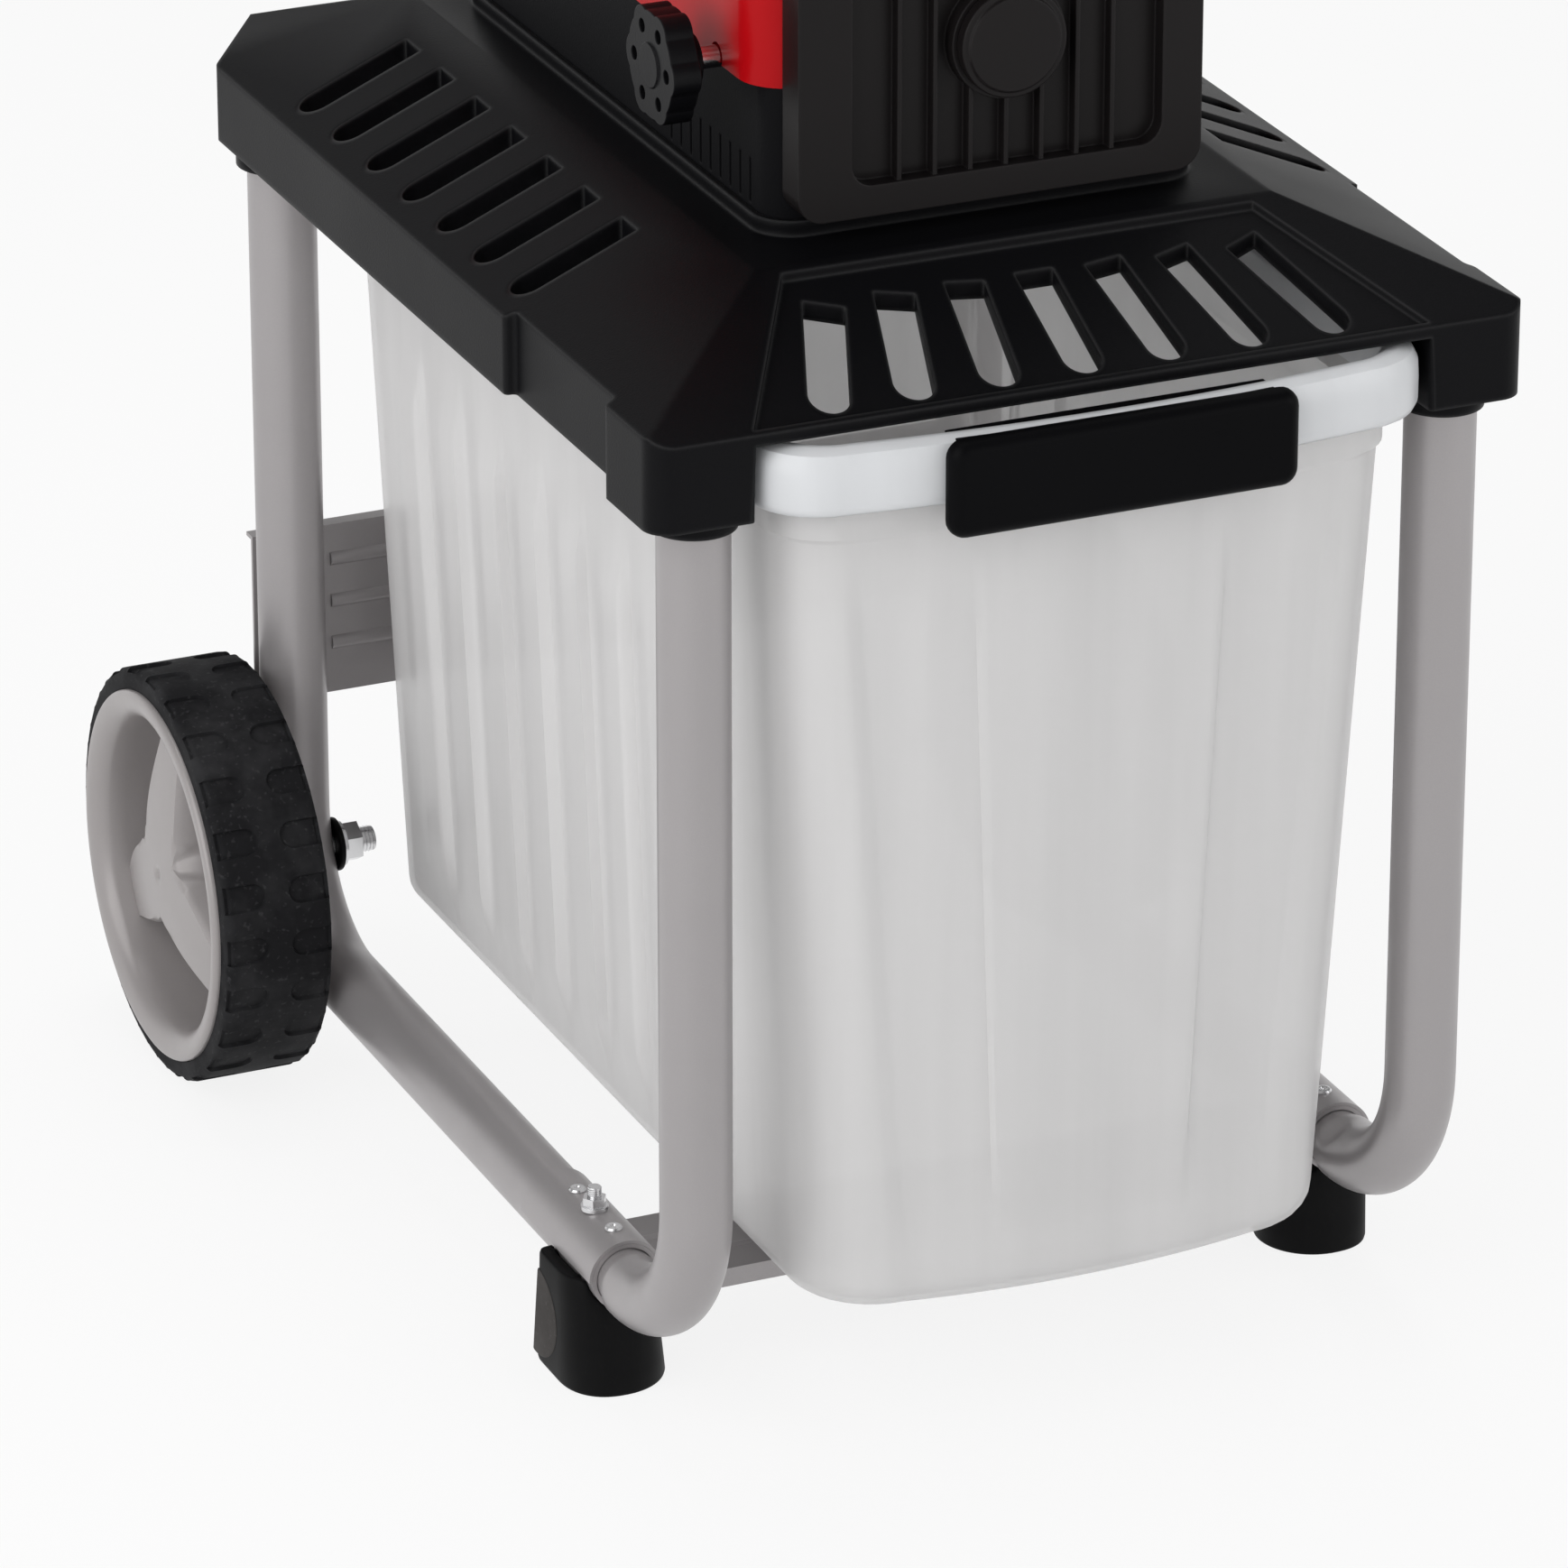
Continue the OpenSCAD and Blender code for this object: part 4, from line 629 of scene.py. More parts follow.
class SHREDDER_OT_tube_frame(bpy.types.Operator):
    """Front and rear legs, joint sleeves, cross rail and rear plate"""

    bl_idname = "shredder.tube_frame"
    bl_label = "Tube frame"
    bl_options = {"REGISTER", "UNDO"}

    def execute(self, context):
        sizes = context.scene.shredder_sizes
        for side in ("left", "right"):
            for name, maker in (("front_leg", front_leg), ("rear_leg", rear_leg)):
                bm = maker(sizes)
                if side == "left":
                    mirror_over(bm)
                node = f"{name}_{side}"
                piece(bm, f"{node}_tube", finish("silver"), "frame", [node], crease=50)
        for node, radius in SHEET_ROUND.items():
            softened(node, f"{node}_sheet", finish("silver"), "frame", radius, 2)
        return {"FINISHED"}


class SHREDDER_OT_tow_bar(bpy.types.Operator):
    """The bent tow bar behind the housing"""

    bl_idname = "shredder.tow_bar"
    bl_label = "Tow bar"
    bl_options = {"REGISTER", "UNDO"}

    def execute(self, context):
        lowest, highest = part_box("tow_bar")
        radius = (highest.z - lowest.z) / 2
        x, y, z = highest.x - radius, highest.y - radius, (lowest.z + highest.z) / 2
        turn, steps = context.scene.shredder_sizes.bar_bend, 20
        bm = bmesh.new()
        ring = ring_at(bm, (x, lowest.y, z), (0, 1, 0), radius)
        ring = run(bm, ring, (0, y - turn - lowest.y, 0), cuts=3)
        ring = bend(bm, ring, (x - turn, y - turn, z), (0, 0, 1), pi / 2, steps)
        ring = run(bm, ring, (2 * (turn - x), 0, 0), cuts=4)
        ring = bend(bm, ring, (turn - x, y - turn, z), (0, 0, 1), pi / 2, steps)
        close(bm, run(bm, ring, (0, lowest.y - y + turn, 0), cuts=3))
        piece(bm, "tow_bar_tube", finish("silver"), "frame", ["tow_bar"], crease=50)
        return {"FINISHED"}


# Feet and fasteners


# Rows of a foot from its sole to its saddle: how far each is drawn in, and its share of the height
FOOT_ROWS = [
    (0.95, 0.0), (0.985, 0.006), (1.0, 0.03), *((1.0, i / 4) for i in (1, 2, 3)), (1.0, 0.97), (0.98, 1.0),
    *((0.9 - 0.12 * i, 1.0) for i in range(7)),
]


def foot_mesh():
    """Right foot: a soft block, round in front, flat on its outer side, with a saddle for the tube."""
    bm = bmesh.new()
    ring = ring_at(bm, (0, 0, 0), (0, 0, 1), 1.0, 96)
    last = len(FOOT_ROWS) - 1
    close(bm, run(bm, ring, (0, 0, last), cuts=last))
    for v in bm.verts:
        v.co = foot_point(v.co.x, v.co.y, *FOOT_ROWS[round(v.co.z)])
    return bm


def foot_point(across, along, share, rise):
    """Carries a point of a unit ring to the foot's plan, drawn in by a share, at a share of its height."""
    lowest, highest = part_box("foot_right")
    lean, play, rail_edge = 0.004, 0.0004, -0.008
    flat, radius = highest.x - LEG_X, (highest.y - lowest.y) / 2 - lean * rise
    # Round on the inner side, a little squarer in front, nearly square behind
    squareness = 2.0 if across < 0 else 2.4 if along < 0 else 12.0
    x = (flat if across > 0 else -radius) * abs(across) ** (2 / squareness) * share
    y = (radius if along > 0 else -radius) * abs(along) ** (2 / squareness) * share
    top = min(highest.z, SIDE_Z - sqrt(max(0.0, (TUBE_R + play) ** 2 - x * x)))
    if x < rail_edge:
        top = min(top, low("front_cross_rail").z - play)
    return Vector((LEG_X + x, (lowest.y + highest.y) / 2 + y, rise * top))


class SHREDDER_OT_feet(bpy.types.Operator):
    """Rubber feet with an oval facet on their flat outer side"""

    bl_idname = "shredder.feet"
    bl_label = "Feet"
    bl_options = {"REGISTER", "UNDO"}

    def execute(self, context):
        for side, sign in (("left", -1), ("right", 1)):
            node = f"foot_{side}"
            bm = foot_mesh()
            if sign < 0:
                mirror_over(bm)
            piece(bm, f"{node}_block", finish("foot"), "frame", [node], crease=50)
            self.add_facet(node, sign)
        return {"FINISHED"}

    def add_facet(self, node, sign):
        """A slightly raised half oval that starts at the rear edge of the flat side."""
        half_height, half_width, edge, crown = 0.022, 0.024, 0.0011, 0.0003
        sunk, from_rear, height, rear_lean = 0.001, 0.003, 0.025, 1 / 7
        lowest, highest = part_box(node)
        flat = highest.x if sign > 0 else lowest.x
        centre = Vector((flat - sign * sunk, highest.y - from_rear, height))
        turn = Matrix.Rotation(sign * pi / 2, 4, "Y")
        bm = bmesh.new()
        made = bmesh.ops.create_circle(bm, cap_ends=True, radius=1, segments=64)
        bmesh.ops.scale(bm, verts=made["verts"], vec=(half_height, half_width, 1))
        ring = run(bm, edges_of(made["verts"]), (0, 0, edge))
        close(bm, run(bm, ring, (0, 0, crown), width=0.96))
        bmesh.ops.transform(bm, matrix=Matrix.Translation(centre) @ turn, verts=bm.verts)
        cut = bmesh.ops.bisect_plane(bm, geom=[*bm.verts, *bm.edges, *bm.faces], dist=MERGE, clear_outer=True,
                                     plane_co=centre, plane_no=(0, 1, rear_lean))
        close(bm, [e for e in cut["geom_cut"] if isinstance(e, bmesh.types.BMEdge)])
        piece(bm, f"{node}_facet", finish("facet"), "frame", [])


def thread(bm, foot, axis, length, radius, pitch):
    """A visible thread: a ridge wound round a rod from a foot point along an axis."""
    axis, foot = Vector(axis), Vector(foot)
    turns, steps, root = int(length / pitch), 18, radius - 0.0009
    others = set(bm.faces)
    outline = ((root, 0), (radius, pitch * 0.42), (radius, pitch * 0.52), (root, pitch * 0.94))
    verts, edges = section(bm, foot, axis, axis.orthogonal().normalized(), outline)
    close(bm, edges)
    made = bmesh.ops.spin(bm, geom=verts + edges, cent=foot, axis=axis, dvec=axis * pitch / steps,
                          angle=tau * turns, steps=steps * turns)
    close(bm, edges_of(verts_in(made["geom_last"])))
    face_out(bm, [f for f in bm.faces if f not in others])


class SHREDDER_OT_fasteners(bpy.types.Operator):
    """Rivets, bolts with threads, nuts and screws"""

    bl_idname = "shredder.fasteners"
    bl_label = "Fasteners"
    bl_options = {"REGISTER", "UNDO"}

    def execute(self, context):
        self.rivets()
        self.bolts()
        self.axles(context.scene.shredder_sizes.thread_pitch)
        for node in ("foot_nuts", "axle_nuts", "plate_screws", "cover_screws"):
            softened(node, f"{node}_bright", finish("zinc"), "frame", 0.0005, 2)
        softened("axle_washers", "axle_washers_soft", finish("foot"), "frame", 0.0008, 2)
        return {"FINISHED"}

    def rivets(self):
        """Dimpled heads on shanks."""
        lowest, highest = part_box("sleeve_rivets")
        foot, head = lowest.z - SLEEVE_TOP, highest.z - SLEEVE_TOP
        radius, shank, core = 0.004, 0.0019, 0.0001
        outline = [(core, foot), (shank, foot), (shank, 0.0), (radius, 0.0), (radius, 0.0005)]
        outline += [(0.0034, 0.0013), (0.0024, head)]
        outline += [(0.0016, head - 0.0002), (0.0011, head - 0.0009), (core, head - 0.001)]
        bm = bmesh.new()
        for x in (-LEG_X, LEG_X):
            for y in (lowest.y + radius, highest.y - radius):
                lathe(bm, (x, y, SLEEVE_TOP), (0, 0, 1), (1, 0, 0), outline, 28)
        piece(bm, "sleeve_rivets_dimpled", finish("zinc"), "frame", ["sleeve_rivets"])

    def bolts(self):
        """Foot bolts with threaded upper ends."""
        radius, pitch, nut_height, end = 0.0033, 0.001, 0.006, 0.0005
        bm = copy_of("foot_bolts")
        round_edges(bm, sharp_edges(bm), 0.0004, 2)
        start = SLEEVE_TOP + nut_height
        length = high("foot_bolts").z - start - end
        for x in (-LEG_X, LEG_X):
            thread(bm, (x, BOLT.y, start), (0, 0, 1), length, radius, pitch)
        dressed(bm, "foot_bolts", "foot_bolts_threaded", finish("zinc"), "frame")

    def axles(self, pitch):
        """Axle bolts with threaded inner ends."""
        radius, length, end = 0.0063, 0.02, 0.0005
        for side, sign in (("left", -1), ("right", 1)):
            node = f"axle_{side}"
            lowest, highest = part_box(node)
            tip = highest.x if sign < 0 else lowest.x
            bm = copy_of(node)
            round_edges(bm, sharp_edges(bm), 0.0007, 2)
            thread(bm, (tip + sign * end, AXLE.y, AXLE.z), (sign, 0, 0), length, radius, pitch)
            dressed(bm, node, f"{node}_threaded", finish("zinc"), "frame")


# Wheels


def wheel_mesh():
    """Right wheel: a rounded lip, a deep barrel, a closed hub and three swelling spokes."""
    bm = bmesh.new()
    lowest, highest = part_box("wheel_right")
    face, back = highest.x, low("tyre_right").x + 0.003
    centre, rim = (0, AXLE.y, AXLE.z), (highest.z - lowest.z) / 2
    lip, flare, reach = 0.0025, 0.011, rim - 0.0145
    outline = [(rim, back), (rim, face - lip)]
    outline += arc((rim - lip, face - lip), lip, 15, 90, 5)
    outline += arc((rim - 0.0032, face - flare), flare, 95, 165, 8)
    outline += [(reach, face - 0.016), (rim - 0.0152, face - 0.028), (rim - 0.0155, back)]
    lathe(bm, centre, (1, 0, 0), (0, 0, 1), outline, 120)
    play, hub, hub_edge, hub_face = 0.0002, 0.016, 0.001, face - 0.012
    bore = (high("axle_right").z - low("axle_right").z) / 4 + play
    boss = [(bore, lowest.x), (hub - hub_edge, lowest.x), (hub, lowest.x + hub_edge)]
    boss += [(hub, hub_face), (bore, hub_face)]
    lathe(bm, centre, (1, 0, 0), (0, 0, 1), boss, 48)
    spokes(bm, reach, back, face)
    return bm


# The spokes start as a flat grid: steps round the wheel, and rows from the hub's dimple outwards
SPOKE_STEPS, SPOKE_RINGS = 96, 26
SPOKE_COUNT, SPOKE_WALL = 3, 0.004
DIMPLE_ROWS, DIMPLE_R = 4, 0.0028
# Shares across a spoke's sector: edge of its crown, and foot of its flank
CROWN_EDGE, FLANK_FOOT = 0.5, 0.68
# Radius at which the hub ends and the spokes part
HUB_END = 0.024


def spokes(bm, reach, back, face):
    """Three swelling spokes that meet in a closed hub, open between them."""
    made = bmesh.ops.create_grid(bm, x_segments=SPOKE_STEPS, y_segments=SPOKE_RINGS, size=0.5)["verts"]
    faces = unique(f for v in made for f in v.link_faces)
    gone = [f for f in faces if is_open(f.calc_center_median(), reach)]
    bmesh.ops.delete(bm, geom=gone, context="FACES")
    kept = [v for v in made if v.is_valid]
    for v in kept:
        v.co = spoke_point(v.co, reach, back, face)
    bmesh.ops.remove_doubles(bm, verts=kept, dist=MERGE)
    faces = [f for f in faces if f.is_valid]
    inner = verts_in(bmesh.ops.extrude_face_region(bm, geom=faces, use_keep_orig=True)["geom"])
    bmesh.ops.translate(bm, verts=inner, vec=(-SPOKE_WALL, 0, 0))


def spoke_share(place):
    """Where a point of the flat grid lies across a spoke: 0 in its middle, 1 between two spokes."""
    return abs(((place.x + 0.5) * SPOKE_COUNT) % 1.0 - 0.5) * 2


def grid_radius(place, reach):
    """Radius of a row of the flat grid; the first rows make the dimple in the hub."""
    row = (place.y + 0.5) * SPOKE_RINGS
    if row <= DIMPLE_ROWS:
        return DIMPLE_R / DIMPLE_ROWS * row
    return DIMPLE_R + (reach - DIMPLE_R) * (row - DIMPLE_ROWS) / (SPOKE_RINGS - DIMPLE_ROWS)


def is_open(place, reach):
    """True where the wheel is open between two spokes."""
    start, end = 0.5 * reach, 0.9 * reach
    return spoke_share(place) > FLANK_FOOT and start < grid_radius(place, reach) < end


def smooth(value):
    """A soft step from 0 to 1."""
    value = min(1.0, max(0.0, value))
    return value * value * (3 - 2 * value)


def spoke_angle(share, radius):
    """Angle from a spoke's middle line: the crown narrows outwards, and the rows are even on the hub."""
    sector, least = pi / SPOKE_COUNT, max(radius, 0.001)
    hub_half, narrowing, flank = 0.0225, 0.0085, 0.005
    half = min(sector - 0.02, (hub_half - narrowing * smooth((radius - HUB_END) / 0.05)) / least)
    wall = min(flank / least, (sector - half) / 2)
    if share <= CROWN_EDGE:
        angle = half * share / CROWN_EDGE
    elif share <= FLANK_FOOT:
        angle = half + wall * (share - CROWN_EDGE) / (FLANK_FOOT - CROWN_EDGE)
    else:
        angle = half + wall + (sector - half - wall) * (share - FLANK_FOOT) / (1 - FLANK_FOOT)
    even = share * sector
    return even + (angle - even) * smooth((radius - 0.010) / 0.012)


def spoke_depth(share, radius, reach, back, face):
    """Place across the wheel: a domed crown with a dimple, and flanks that fall to the back."""
    below_face, dome, dimple, floor, shoulder = 0.0045, 0.0105, 0.0012, back + 0.010, 0.002
    crown = face - below_face - dome * (radius / reach) ** 2 - dimple * smooth((0.003 - radius) / 0.002)
    fall = shoulder * smooth((share - 0.2) / 0.3) + (1 - shoulder) * smooth((share - 0.46) / 0.2)
    return crown + (floor - crown) * fall * smooth((radius - HUB_END) / 0.012)


def spoke_point(place, reach, back, face):
    """Carries a point of the flat grid to its place on the swelling spokes."""
    sector = min((place.x + 0.5) * SPOKE_COUNT, SPOKE_COUNT - TOUCH)
    share, radius = spoke_share(place), grid_radius(place, reach)
    angle = spoke_angle(share, radius) * (1 if sector % 1.0 > 0.5 else -1)
    angle += (int(sector) + 0.5) * tau / SPOKE_COUNT + pi
    x = spoke_depth(share, radius, reach, back, face)
    return Vector((x, AXLE.y + radius * sin(angle), AXLE.z + radius * cos(angle)))


class SHREDDER_OT_wheels(bpy.types.Operator):
    """Wheels with three spokes, and their tyres"""

    bl_idname = "shredder.wheels"
    bl_label = "Wheels and tyres"
    bl_options = {"REGISTER", "UNDO"}

    def execute(self, context):
        sizes = context.scene.shredder_sizes
        for side in ("left", "right"):
            wheel, tyre = wheel_mesh(), tyre_mesh(sizes)
            if side == "left":
                mirror_over(wheel)
                mirror_over(tyre)
            body, rim_node, tyre_node = f"{side}_wheel", f"wheel_{side}", f"tyre_{side}"
            piece(wheel, f"{rim_node}_spoked", finish("wheel"), body, [rim_node], crease=45)
            piece(tyre, f"{tyre_node}_tread", finish("tyre"), body, [tyre_node], crease=38)
        return {"FINISHED"}


# Steps of the tread from one pocket to the next, and from a pocket's middle to its side
TREAD_STEPS, POCKET_STEPS = 20, 6


def tyre_mesh(sizes):
    """Right tyre: a band with rounded shoulders and two rows of round-ended pockets."""
    shoulder, inner = 0.0045, TYRE_R - 0.010
    x0, x1 = low("tyre_right").x, high("tyre_right").x
    length, rows, centre_rows = sizes.pocket_length, 8, 3
    near = [shoulder + (length - shoulder) * i / rows for i in range(1, rows + 1)]
    far = [length + (TYRE_W / 2 - length) * i / centre_rows for i in range(1, centre_rows)]
    half = near + far
    outline = [(inner, x0)] + arc((TYRE_R - shoulder, x0 + shoulder), shoulder, 270, 360, 7)
    outline += [(TYRE_R, x0 + a) for a in half] + [(TYRE_R, (x0 + x1) / 2)]
    outline += [(TYRE_R, x1 - a) for a in reversed(half)]
    outline += arc((TYRE_R - shoulder, x1 - shoulder), shoulder, 0, 90, 7) + [(inner, x1)]
    bm = bmesh.new()
    lathe(bm, (0, AXLE.y, AXLE.z), (1, 0, 0), (0, 0, 1), outline, TREAD_STEPS * sizes.tread_count)
    inside = {v for v in bm.verts if shape_pocket(v, x0, x1, sizes)}
    face_out(bm, bm.faces)
    faces = [f for f in bm.faces if inside.issuperset(f.verts)]
    slope = 0.0005
    bmesh.ops.inset_region(bm, faces=faces, thickness=slope, depth=-sizes.tread_depth, use_boundary=True)
    return bm


def shape_pocket(v, x0, x1, sizes):
    """Moves a vertex of the tread to its place round a pocket; true where it lies in the pocket."""
    step = tau / (TREAD_STEPS * sizes.tread_count)
    arm = Vector((v.co.y - AXLE.y, v.co.z - AXLE.z))
    column = round(arm.angle_signed(Vector((0, 1)), 0.0) / step)
    along = (column + TREAD_STEPS // 2) % TREAD_STEPS - TREAD_STEPS // 2
    width, pitch = sizes.pocket_width / 2, tau * TYRE_R / sizes.tread_count
    beside = abs(along) - POCKET_STEPS
    if beside > 0:
        shift = width + (pitch / 2 - width) * beside / (TREAD_STEPS // 2 - POCKET_STEPS)
    else:
        shift = width * sin(abs(along) / POCKET_STEPS * pi / 2)
    angle = column * step + ((shift if along > 0 else -shift) / TYRE_R - along * step)
    v.co.y, v.co.z = AXLE.y + arm.length * sin(angle), AXLE.z + arm.length * cos(angle)
    side_wall = TYRE_R - 0.003
    if beside > 0 or arm.length < side_wall:
        return False
    sign = 1 if v.co.x < (x0 + x1) / 2 else -1
    edge = x0 if sign > 0 else x1
    inset, length, half = abs(v.co.x - edge), sizes.pocket_length, TYRE_W / 2
    reach = length - width * (1 - cos(abs(along) / POCKET_STEPS * pi / 2))
    if inset <= length + MERGE:
        v.co.x = edge + sign * inset * reach / length
        return True
    v.co.x = edge + sign * (reach + (inset - length) / (half - length) * (half - reach))
    return False


# Collection box


class SHREDDER_OT_collection_box(bpy.types.Operator):
    """Milky box with fluted sides, a folded rim and its handle"""

    bl_idname = "shredder.collection_box"
    bl_label = "Collection box"
    bl_options = {"REGISTER", "UNDO"}

    def execute(self, context):
        lowest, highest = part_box("collection_box")
        self.sizes = sizes = context.scene.shredder_sizes
        self.half = highest.x - sizes.box_rim
        self.front = lowest.y + sizes.box_rim + sizes.box_bulge
        self.rear = highest.y
        self.floor, self.tall = lowest.z, highest.z - lowest.z
        bm = bmesh.new()
        ring = self.outline(bm)
        plan = {v: v.co.copy() for v in verts_of(ring)}
        for v in plan:
            v.co = self.place(plan[v], sizes.box_taper + sizes.floor_round, 0.0)
        for inward, height, rim in self.levels():
            verts = verts_in(bmesh.ops.extrude_edge_only(bm, edges=ring)["geom"])
            plan = self.carry(plan, ring, verts)
            for v in verts:
                v.co = self.place(plan[v], inward, height)
                for f in v.link_faces:
                    f.material_index = rim
            ring = edges_of(verts)
        face_out(bm, bm.faces)
        # The sheet is open, so its floor tells which side is out
        if min(bm.faces, key=lambda f: f.calc_center_median().z).normal.z > 0:
            bmesh.ops.reverse_faces(bm, faces=bm.faces)
        made = piece(bm, "collection_box_milky", finish("box"), "box", ["collection_box"],
                     crease=40, outward=False)
        made.data.materials.append(finish("rim"))
        wall = made.modifiers.new("Wall", "SOLIDIFY")
        wall.thickness = sizes.box_wall
        wall.offset = -1
        self.handle()
        return {"FINISHED"}

    def outline(self, bm):
        """Plan of the wall at its upper edge: round corners, with many points along the sides."""
        corner_edge, spacing = 0.05, 0.0024
        size = Vector((self.half * 2, self.rear - self.front, 1))
        place = Matrix.Translation((0, (self.front + self.rear) / 2, 0)) @ Matrix.Diagonal((*size, 1))
        bmesh.ops.create_grid(bm, x_segments=1, y_segments=1, size=0.5, matrix=place)
        for wanted, radius in ((self.front, self.sizes.box_corner), (self.rear, self.sizes.box_corner / 2)):
            corners = [v for v in bm.verts if abs(v.co.y - wanted) < MERGE]
            bmesh.ops.bevel(bm, geom=corners, offset=radius, offset_type="OFFSET", segments=10, profile=0.5,
                            affect="VERTICES", clamp_overlap=True, material=-1)
        for edge in list(bm.edges):
            length = edge.calc_length()
            if length > corner_edge:
                bmesh.ops.subdivide_edges(bm, edges=[edge], cuts=int(length / spacing))
        return list(bm.edges)

    def carry(self, plan, ring, verts):
        """Hands the plan on from a ring to the ring extruded from it."""
        new = set(verts)
        carried = {}
        for v in verts_of(ring):
            for e in v.link_edges:
                other = e.other_vert(v)
                if other in new:
                    carried[other] = plan[v]
        return carried

    def levels(self):
        """Inward lean, height above the floor and finish of each ring, from floor to the rim's lower edge."""
        taper, rim, turn = self.sizes.box_taper, self.sizes.box_rim, self.sizes.floor_round
        tall, collar, step, rows = self.tall, 0.045, 0.0018, 28
        rise = tall - turn - collar
        angles = [radians(a) for a in range(15, 91, 15)]
        wall = [(taper + turn * (1 - sin(a)), turn * (1 - cos(a))) for a in angles]
        wall += [(taper * (1 - i / rows), turn + rise * i / rows) for i in range(1, rows + 1)]
        wall += [(-0.0004, tall - 0.044), (-step, tall - 0.042), (-step, tall - 0.020)]
        fold = [(-step, tall - 0.004), (-0.0024, tall - 0.0014), (-0.0042, tall)]
        fold += [(-rim + 0.0045, tall), (-rim + 0.0016, tall - 0.0012), (-rim + 0.0003, tall - 0.0045)]
        fold += [(-rim, tall - 0.012), (-rim, tall - 0.0215)]
        fold += [(-rim + 0.0008, tall - 0.024), (-rim + 0.0022, tall - 0.025)]
        return [(*row, 0) for row in wall] + [(*row, 1) for row in fold]

    def place(self, plan, inward, height):
        """A point of the wall: its plan drawn in, with the bulge, the flutes and the creases."""
        crease_x, crease_width, crease_depth = 0.058, 0.0015, 0.0026
        sizes = self.sizes
        sign = 1 if plan.x > 0 else -1
        lean = min(1.0, max(0.0, inward / sizes.box_taper))
        turned = max(0.0, inward - sizes.box_taper)
        half, r0 = self.half - inward, sizes.box_corner
        front = self.front + sizes.front_taper * lean + turned + min(0.0, inward)
        rear = self.rear - turned
        r = r0 + (sizes.floor_corner - r0) * lean - turned
        if plan.y < self.front + r0 - TOUCH and abs(plan.x) > self.half - r0 + TOUCH:
            arm = Vector((abs(plan.x) - self.half + r0, self.front + r0 - plan.y)).normalized() * r
            x, y = sign * (half - r + arm.x), front + r - arm.y
        elif plan.y > self.rear - r0 / 2 + TOUCH and abs(plan.x) > self.half - r0 / 2 + TOUCH:
            arm = Vector((abs(plan.x) - self.half + r0 / 2, plan.y - self.rear + r0 / 2)).normalized() * r / 2
            x, y = sign * (half - r / 2 + arm.x), rear - r / 2 + arm.y
        elif plan.y < self.front + TOUCH:
            share = plan.x / (self.half - r0)
            x, y = share * (half - r), front - sizes.box_bulge * (1 - share ** 2)
            beside = smooth((abs(plan.x) - crease_x) / crease_width)
            y += crease_depth * beside * self.fade(height, 0.03, self.tall - 0.06)
        elif plan.y > self.rear - TOUCH:
            x, y = plan.x / (self.half - r0 / 2) * (half - r / 2), rear
        else:
            share = (plan.y - self.front - r0) / (self.rear - self.front - 1.5 * r0)
            y = front + r + share * (rear - front - 1.5 * r)
            x = sign * (half + self.flute(plan.y, height))
        return Vector((x, y, self.floor + height))

    def flute(self, y, height):
        """Outward swell of the upright flutes, which fade out below the rim."""
        first, last, steep, slow = self.front + 0.085, self.rear - 0.03, 0.06, 0.6
        if not first < y < last:
            return 0.0
        pitch = (last - first) / self.sizes.flute_count
        phase = ((y - first) / pitch) % 1.0
        rise = smooth(phase / steep) * smooth((1 - phase) / slow)
        return self.sizes.flute_depth * rise * self.fade(height, 0.02, self.tall - 0.11)

    def fade(self, height, start, end):
        """0 at the ends of a stretch of the wall and 1 along it."""
        soft = 0.03
        return smooth(min(1.0, max(0.0, (height - start) / soft)) * min(1.0, max(0.0, (end - height) / soft)))

    def handle(self):
        """Handle: a thick soft-edged bar hooked over the rim."""
        lowest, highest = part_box("box_handle")
        plate, corner, front_round, back_round = 0.009, 0.008, 0.006, 0.0015
        bm = bmesh.new()
        edges = block(bm, lowest, (highest.x - lowest.x, plate, highest.z - lowest.z))
        deep = [e for e in edges if abs(e.verts[0].co.y - e.verts[1].co.y) > plate / 2]
        round_edges(bm, deep, corner, 6)
        for y, radius in ((lowest.y, front_round), (lowest.y + plate, back_round)):
            rim = [e for e in bm.edges if all(abs(v.co.y - y) < MERGE for v in e.verts)]
            round_edges(bm, rim, radius, 6)
        inset, overlap, play, sheet = 0.007, 0.004, 0.0003, 0.0013
        start = Vector((lowest.x + inset, lowest.y + plate - overlap, high("collection_box").z + play))
        hook = block(bm, start, (highest.x - inset - start.x, highest.y - start.y, sheet))
        round_edges(bm, hook, 0.0006, 2)
        even_normals(piece(bm, "box_handle_grip", finish("handle"), "box", ["box_handle"],
                           crease=40))


# Base plate


